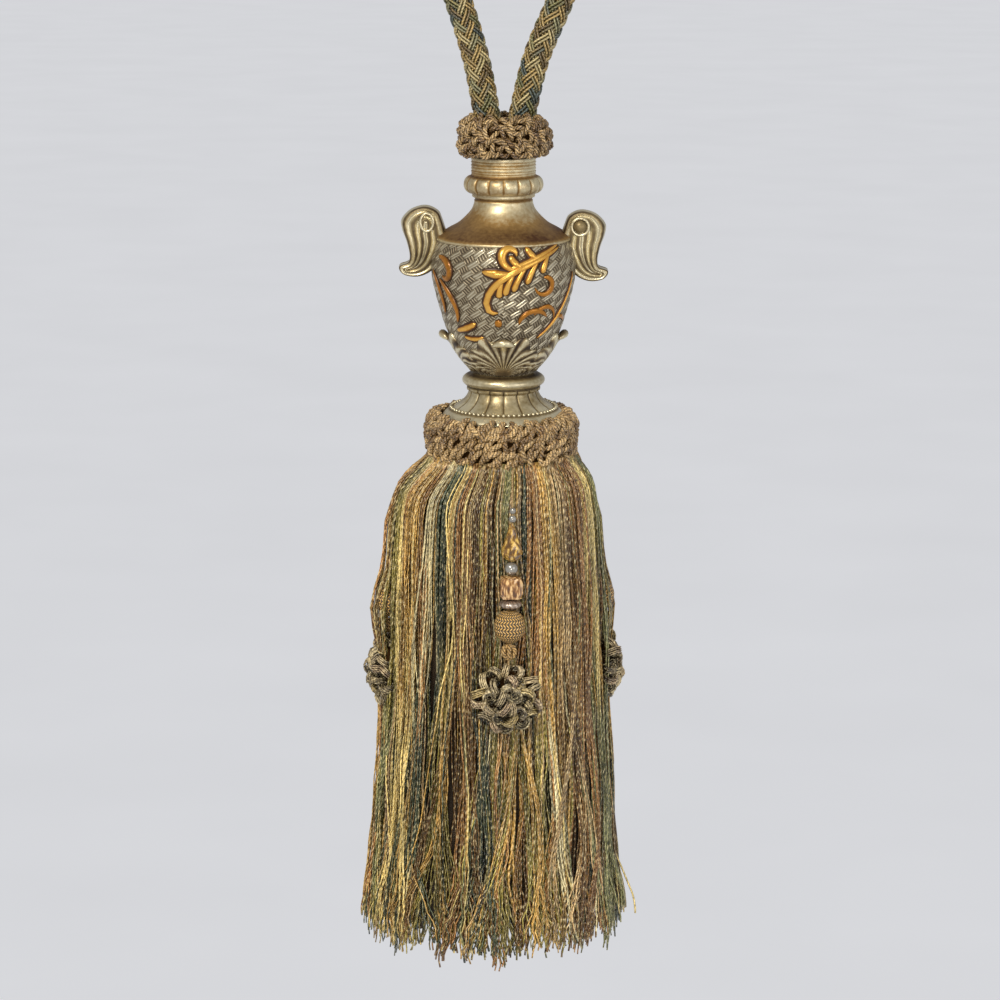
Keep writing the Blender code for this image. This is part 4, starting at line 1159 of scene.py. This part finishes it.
def skirtThreads(layer, seed):
    # Each thread follows its lock. The lock sways slowly, opens and closes and swings out at its end,
    # and each thread adds waves and an end of its own.
    draws = np.random.default_rng(seed)
    locks, threads = layer["locks"], layer["threads"]
    count = locks * threads
    even = np.linspace(0, 1, skirtSet["stations"])[None]
    t = even - skirtSet["bunching"] * np.sin(fullTurn * even)
    lockOf = np.repeat(np.arange(locks), threads)
    stray = skirtSet["lockStray"]
    lockTurn = fullTurn * (np.arange(locks) + draws.uniform(-stray, stray, locks)) / locks
    lockDepth = layer["near"] + (layer["far"] - layer["near"]) * draws.uniform(0, 1, locks) ** 1.3
    lockStray, ownStray = skirtSet["endStray"]
    ends = skirtSet["end"] + draws.normal(0, lockStray, locks)[lockOf] + draws.normal(0, ownStray, count)
    ends = np.maximum(ends, skirtSet["longest"])[:, None]
    height = skirtSet["top"] + (ends - skirtSet["top"]) * t
    hang = ease(0.02, 0.4, t)

    sideways = (wave(draws, "sway", locks, t) + wave(draws, "ripple", locks, t)) * hang * (0.45 + 1.3 * t)
    for name in ("swing", "stray", "cross", "tuft"):
        sideways = sideways + push(draws, name, locks, t)
    weave = wave(draws, "depth", locks, t) * hang
    spread = (1 + wave(draws, "spread", locks, t))[lockOf] * (1 + 0.5 * ease(0.55, 1.0, t))
    offset = np.tile((np.arange(threads) - (threads - 1) / 2) / threads, locks)[:, None]
    offset = offset + draws.normal(0, 0.16, (count, 1))
    rough = hang * draws.uniform(0.4, 1.7, (locks, 1))[lockOf]
    fine = (wave(draws, "bend", count, t) + wave(draws, "kink", count, t)) * rough
    fineIn = (wave(draws, "bend", count, t) + wave(draws, "kinkIn", count, t)) * rough
    wander = push(draws, "wander", count, t) * wave(draws, "wander", count, t)
    flick = push(draws, "flick", count, t) + wander
    flick = flick + wave(draws, "frizz", count, t) * ease(0.8, 0.96, t)
    flare = draws.gamma(1.2, 1.0, locks)[lockOf][:, None] + 0.5 * draws.gamma(1.0, 1.0, (count, 1))
    flare = flare * ease(0.82, 1.0, t) * 0.95
    sideways = sideways[lockOf] + offset * layer["width"] * spread + fine + flick
    depth = lockDepth[lockOf][:, None] - weave[lockOf] - draws.uniform(-0.7, 0.7, (count, 1)) - fineIn
    radius = tableAt(skirtProfile, height) - depth * ease(0.0, 0.05, t) + flare
    turn = lockTurn[lockOf][:, None] + sideways / 44.0  # 44 mm is the skirt's middling radius
    # A string hangs in a hollow; at the side strings some of the locks hang over it instead.
    toString = (lockTurn - stringSet["endTurn"]) % math.pi - math.pi / 2
    near = (np.abs(toString) < 0.3) & (np.abs(toString) >= layer["coverFrom"])
    covers = near & (draws.uniform(0, 1, locks) < layer["cover"])
    # Locks beside the ball lie at any depth, which closes the sides of the hollow.
    beside = np.random.default_rng(seed + 1).uniform(0.05, 1.0, locks)
    share = peaks(toString, (0, 0.17)) * np.where(np.abs(toString) < 0.11, 1.0, beside)
    bulge = np.maximum(tableAt(coverRoute, height) - tableAt(skirtProfile, height), 0)
    bulge = bulge * share[lockOf][:, None] * layer["drape"]
    radius = radius + np.where(covers[lockOf][:, None], bulge, -dent(turn, height) * layer["dent"])
    paths = around(radius, turn, height, skirtCentre(height))

    tints = yarnColours(draws, lockTurn, lockOf, t) * layer["shade"]
    # Each lock and thread is lighter or darker at random, partly the yarns' own tone and partly painted light
    # and shade between them; the threads are lighter towards their ends.
    light = draws.uniform(0.62, 1.24, (locks, 1))[lockOf] * draws.uniform(0.66, 1.34, (count, 1))
    # Painted sheen: a bundle's colour lightens and darkens along it as it winds.
    sheen = 1 + skirtSet["sheen"] * wave(np.random.default_rng(seed + 2), "sheen", locks, t)[lockOf]
    light = light * sheen * (1 + skirtSet["lowerLight"] * ease(0.5, 0.9, t))
    thick = layer["thread"] * draws.uniform(0.8, 1.2, (locks, 1))[lockOf]
    starts = draws.uniform(0, 400, count)
    return sweep(paths, thick, 3, outward(turn), start=starts, tint=tints * light[..., None])


def yarnColours(draws, lockTurn, lockOf, t):
    # Each lock has one yarn above and one below; some threads have a yarn of their own.
    locks, count, names = len(lockTurn), len(lockOf), list(yarnTints)
    palette, shares = (np.array([yarnTints[name][i] for name in names]) for i in (0, 1))
    upper, lower = draws.choice(len(names), (2, locks), p=shares / shares.sum())
    facing = np.degrees((lockTurn + math.pi) % fullTurn - math.pi)
    for middle, half, above, below in yarnStreaks:
        here = np.abs(facing - middle) < half
        upper[here], lower[here] = names.index(above), names.index(below)
    strays = draws.choice(len(names), count, p=shares / shares.sum())
    mixing = draws.uniform(0, 1, count) < skirtSet["mixing"]
    # The dye of a yarn changes somewhere along it.
    turned = ease(-0.06, 0.06, t - draws.uniform(0.36, 0.6, (locks, 1))[lockOf])[..., None]
    above, below = (palette[np.where(mixing, strays, yarn[lockOf])][:, None] for yarn in (upper, lower))
    return above * (1 - turned) + below * turned


def innerBundles(seed):
    # Thick bundles that fill the inside of the skirt behind the fine threads, tinted dark as painted shade.
    draws = np.random.default_rng(seed)
    count, stations, top = bundleSet["count"], bundleSet["stations"], bundleSet["top"]
    t, each = np.linspace(0, 1, stations)[None], np.arange(count)[:, None]
    height = top + (bundleSet["end"] + draws.normal(0, 3.0, (count, 1)) - top) * t
    turn = fullTurn * each / count + 0.01 * np.sin(t * 9 + each)
    radius = tableAt(skirtProfile, height) - 3.4 - 5.6 * ease(0.0, 0.14, t) - 0.7 * dent(turn, height)
    paths = around(radius, turn, height, skirtCentre(height))
    tints = linear(66, 48, 24) * draws.uniform(0.5, 1.2, (count, 1, 1)) * np.ones((1, stations, 1))
    return sweep(paths, bundleSet["radius"], bundleSet["sides"], outward(turn), tint=tints)


skirtYarn = yarnFinish("skirt_yarn", 2.8, 1.2, 0.26, 1.0, 0.75)
coreYarn = yarnFinish("core_yarn", 0.9, 0.5, 0.7, 0.6)
makePiece("skirt_outer", skirtThreads(outerLayer, 31), skirtYarn, "mixed_yarn", "skirt")
makePiece("skirt_inner", skirtThreads(innerLayer, 41), skirtYarn, "mixed_yarn", "skirt")
makePiece("skirt_core", innerBundles(51), coreYarn, "mixed_yarn", "skirt")
print("skirt done")


def stringPlace(quarter, height):
    # Radius and turn of a string at this height; the side ones follow their own route.
    radius = stringSet["radius"] + stringSet["slope"] * (stringSet["top"] - height)
    radius = tableAt(nestedRoute, height) if quarter % 2 else np.minimum(radius, stringSet["most"])
    return radius, stringTurn(height) + fullTurn * quarter / 4


def onString(shell, quarter, height):
    # Puts a bead that was made round the origin, with its front to -Y, on its string.
    radius, turn = stringPlace(quarter, height)
    return moved(shell, turn=turn, shift=around(radius, turn, height, skirtX))


def stringThread(quarter):
    # From under the collar over its edge and down through the beads: radius, height, share of the
    # skirt's shift to the left. A side string dives between the threads.
    start = [(30.7, -14.1, 0.0), (32.6, -16.6, 0.33)]
    nested, free = ((34.7, -20.6, 0.66), (36.4, -24.8, 1.0)), ((37.8, -21.4, 0.66), (42.2, -24.8, 1.0))
    start += nested if quarter % 2 else free
    first = stringSet["topTurn"] + fullTurn * quarter / 4
    spots = [around(r, first, h, collarX + (skirtX - collarX) * share) for r, h, share in start]
    for height in (-27.7, -40.0, -60.0, -80.0, -92.0):
        radius, turn = stringPlace(quarter, height)
        spots.append(around(radius, turn, height, skirtX))
    line = smoothLine(np.array(spots), 60)
    return sweep(line[None], 0.42, 6, outward(turn + math.pi / 2), tint=linear(150, 122, 76)[None])


def roundBead(across, tall, columns, rows, **values):
    rise = np.linspace(-1.5, 1.5, rows)[:, None]
    uv = np.stack(np.broadcast_arrays(ring(columns)[None] / fullTurn, (rise + 1.5) / 3), axis=-1)
    points = globe(1.5, rows, columns) * np.array((across, across, tall))
    return gridShell(points, uv=uv, capped=True, **values)


def facetedDrop():
    # Rings of facets; each ring is turned half a side from the last, so the facets are kites.
    sides = 9
    sections = np.array((
        (-7.3, 1.6), (-6.4, 3.0), (-4.4, 4.4), (-2.0, 3.9), (0.8, 2.9), (3.8, 1.9), (6.2, 1.2), (7.3, 0.8),
    ))
    step = np.arange(len(sections))[:, None]
    spin = (np.arange(sides)[None] + 0.5 * (step % 2)) * fullTurn / sides
    points = (sections[:, 1:2] * np.cos(spin), sections[:, 1:2] * np.sin(spin), sections[:, 0:1])
    return gridShell(np.stack(np.broadcast_arrays(*points), axis=-1), capped=True)


def cubeBead():
    # A rounded cube with cut corners: |x|^p + |y|^p + |z|^p is constant, in few facets.
    power, half = 5, 4.5
    ball = globe(1.5, 9, 16, phase=math.pi / 16)
    norm = (np.abs(ball) ** power).sum(axis=-1, keepdims=True) ** (1 / power)
    return gridShell(ball / norm * half, capped=True)


def discBead():
    # Turned profile with flutes that lean as they rise.
    profile = ((-1.7, 2.4), (-1.2, 3.7), (-0.3, 4.4), (0.5, 4.3), (1.2, 3.4), (1.7, 2.2))
    line, turn = profileLine((profile,), 0.4), ring(40)[None]
    flute = np.cos(turn * 14 + line[:, 0:1])
    points = around(line[:, 1:2] * (1 + 0.03 * flute), turn, line[:, 0:1], base=0.0)
    return gridShell(points, capped=True, hollow=np.clip(0.3 - 0.3 * flute, 0, 1))


def loopKnot(seed):
    # Small twisted loops under the ball: each swings out as a half wave while it drops.
    loops = 5
    draws = np.random.default_rng(seed)
    t = np.linspace(0, 1, 16)
    drop = upright * (2.8 - 5.4 * t + 0.5 * np.sin(fullTurn * t))[:, None]
    paths, references = [], []
    for k in range(loops):
        turn = fullTurn * k / loops + draws.normal(0, 0.2)
        out = np.array((math.cos(turn), 0.75 * math.sin(turn), 0.0))
        paths.append(np.sin(math.pi * t)[:, None] * 2.3 * out + drop)
        references.append(np.cross(out, upright))
    tints = np.array([linear(150, 118, 68)] * loops) * draws.uniform(0.8, 1.15, (loops, 1))
    return gimp(np.array(paths), 0.95, np.array(references)[:, None, :], tints, seed)


rosetteSet = {
    # Rings of curls: how many, how far from the middle, how far behind the middle.
    "rings": ((14, 11.2, 0.8), (10, 7.2, -1.8), (5, 3.2, -3.4)),
    "size": (2.5, 3.5),
    "nests": ((1.0, 4), (0.7, 3), (0.42, 2)),  # the loops inside each other: share of the size, threads
    "spacing": 0.72,
    "thread": 0.45,
    # edges: painted light and shade on a thread's three edges, the outer one lit and the others shaded.
    "edges": (1.5, 0.5, 0.5),  # brightness of a thread's three edges, the outer one first
    "stations": 12,
    "roll": (-110, 200),  # a curl goes round between these, in degrees
}
petalTints = [
    linear(*colour)
    for colour in (
        (134, 117, 86), (146, 131, 98), (118, 103, 72), (130, 112, 70), (128, 108, 82), (116, 102, 76),
    )
]


def rosette(seed):
    # Curls of thread. A curl's threads lie side by side and go round once, smaller loops inside larger
    # ones; some curls roll towards the front and some lie flat and show their spiral.
    draws = np.random.default_rng(seed)
    roll = np.radians(np.linspace(*rosetteSet["roll"], rosetteSet["stations"]))
    paths, references, tints = [], [], []
    for curls, far, behind in rosetteSet["rings"]:
        for k in range(curls):
            turn = fullTurn * (k + draws.uniform(-0.3, 0.3)) / curls
            heading, tilt = turn + draws.normal(0, 0.7), draws.normal(0, 0.8)
            ahead = np.array((math.sin(heading), 0.0, math.cos(heading)))
            side = np.array((math.cos(heading), 0.0, -math.sin(heading)))
            forward = math.sin(tilt) * side - math.cos(tilt) * toBack
            beside = math.cos(tilt) * side + math.sin(tilt) * toBack
            middle = far * np.array((math.sin(turn), 0.0, math.cos(turn)))
            middle = middle + (behind + draws.normal(0, 0.4)) * toBack
            size = draws.uniform(*rosetteSet["size"])
            tint = petalTints[draws.integers(len(petalTints))]
            for share, threads in rosetteSet["nests"]:
                for thread in range(threads):
                    across = (thread - (threads - 1) / 2) * rosetteSet["spacing"] + draws.normal(0, 0.1)
                    radius = size * share - 0.05 * across**2 + draws.normal(0, 0.1)
                    loop = np.sin(roll)[:, None] * ahead + np.cos(roll)[:, None] * forward
                    path = middle + radius * loop + across * beside
                    path = path + draws.normal(0, 0.06, (len(roll), 3))
                    # Painted shade: the parts of a loop further back, and the smaller inner loops, are
                    # darker.
                    light = ease(1.0, -1.0, (path - middle)[:, 1] / size) * (0.5 + 0.5 * share)
                    paths.append(path)
                    references.append(-beside)
                    tints.append((0.2 + 1.15 * light)[:, None] * tint * draws.uniform(0.75, 1.3))
    starts = draws.uniform(0, 90, len(paths))
    # Painted light and shade on each thread's three edges.
    tints = np.array(tints)[:, :, None, :] * np.array(rosetteSet["edges"])[:, None]
    references = np.array(references)[:, None, :]
    return sweep(np.array(paths), rosetteSet["thread"], 3, references, start=starts, tint=tints)


def rosetteCore():
    # The flat pad under the curls, painted dark as the shade between them.
    return moved(roundBead(12.0, 12.0, 24, 11), shift=(0, 2.2, 0), scale=(1, 0.2, 1))


def glassFinish(name, deep, middle, bright):
    # Upright streaks inside the facets: dark streaks and bright sparkle painted in place of the glass's
    # reflections.
    finish = Finish(name, Transmission_Weight=0.2, IOR=1.52, Coat_Weight=0.8, Coat_Roughness=0.03)
    stretch = {0: finish.place(), 1: (1.0, 1.0, 0.3)}
    stretched = finish.node("ShaderNodeVectorMath", {"operation": "MULTIPLY"}, stretch)
    streak = finish.noise(1000.0, 2.0, stretched)
    colour = finish.ramp(streak, (0.36, linear(*deep)), (0.5, linear(*middle)), (0.62, linear(*bright)))
    return finish.set(Base_Color=colour, Roughness=streak * 0.1 + 0.02)


def knitFinish(name, rows=15.0, stitches=28.0):
    # Rows of small slanting stitches, each row slanting the other way.
    finish = Finish(name, Specular_IOR_Level=0.7)
    turn, rise = finish.pattern()
    row = rise * rows
    lean = row.to("PINGPONG", 1.0) * 0.8
    stitch = ((turn * stitches + lean) * fullTurn).to("SINE") * 0.5 + 0.5
    height = stitch * ((row * math.pi).to("SINE").to("ABSOLUTE") * 0.8 + 0.2)
    finish.bump(height, 0.45)
    # Painted shade and light: the gaps between stitches are darker and the stitch tops lighter.
    colour = finish.shaded(height * 2.3 + finish.noise(700.0) * 0.4 - 0.25)
    return finish.set(Base_Color=colour, Roughness=0.5 - height * 0.2)


amberGlass = glassFinish("amber_glass_facets", (92, 62, 16), (142, 102, 36), (232, 190, 96))
peachGlass = glassFinish("peach_glass_facets", (92, 56, 22), (166, 116, 62), (248, 204, 140))
pearlFinish = Finish("grey_pearl", Metallic=0.6, Coat_Weight=0.8, Coat_Roughness=0.1)
pearlTone = pearlFinish.mixed(pearlFinish.noise(400.0), linear(118, 114, 106), linear(178, 174, 162))
pearlFinish.set(Base_Color=pearlTone, Roughness=pearlFinish.noise(300.0, 1.0) * 0.15 + 0.18)
discFinish = castFinish("silver_disc_metal", (200, 184, 166), (54, 40, 30), (136, 116, 98), 0.24, 0.85)
ballFinish = knitFinish("wound_thread_ball")
petalFinish = yarnFinish("petal_thread", 1.5, 1.0, 0.26, 1.1, 0.8)
threadFinish = yarnFinish("string_thread", 1.2, 0.6, 0.5, 0.5)

pearlSizes = ((2.6, -27.7), (3.0, -30.85), (5.2, -50.25))  # across, height
for quarter in range(4):
    pearls = [onString(roundBead(size / 2, size / 2, 20, 13), quarter, height) for size, height in pearlSizes]
    pearlNodes = [f"pearl_{letter}_{quarter}" for letter in "abc"]
    thread = stringThread(quarter)
    makePiece(f"string_thread_{quarter}", thread, threadFinish, "thread", f"thread_{quarter}")
    makePiece(f"pearls_{quarter}", joined(pearls), pearlFinish.material, "pearl", *pearlNodes)
    ball = roundBead(6.1, 6.7, 40, 26, tint=linear(176, 138, 76))
    for name, bead, height, finish, slotName, node in (
        ("amber_drop", facetedDrop(), -40.0, amberGlass, "amber_glass", "drop"),
        ("peach_cube", cubeBead(), -57.6, peachGlass, "peach_glass", "cube"),
        ("silver_disc", discBead(), -64.05, discFinish, "silver_bead", "disc"),
        ("thread_ball", ball, -72.8, ballFinish, "wound_thread", "ball"),
        ("loop_knot", loopKnot(61 + quarter), -82.95, gimpFinish, "twisted_cord", "knot"),
        ("rosette", rosette(71 + quarter), -101.9, petalFinish, "taupe_cord", "pompon"),
        ("rosette_core", rosetteCore(), -101.9, shadowBandFinish.material, "taupe_cord", "pompon"),
    ):
        smooth = node not in ("drop", "cube")
        shell = onString(bead, quarter, height)
        makePiece(f"{name}_{quarter}", shell, finish, slotName, f"{node}_{quarter}", smooth=smooth)
print("bead strings done; triangles:", sum(triangles.values()), "most in one piece:", max(triangles.values()))
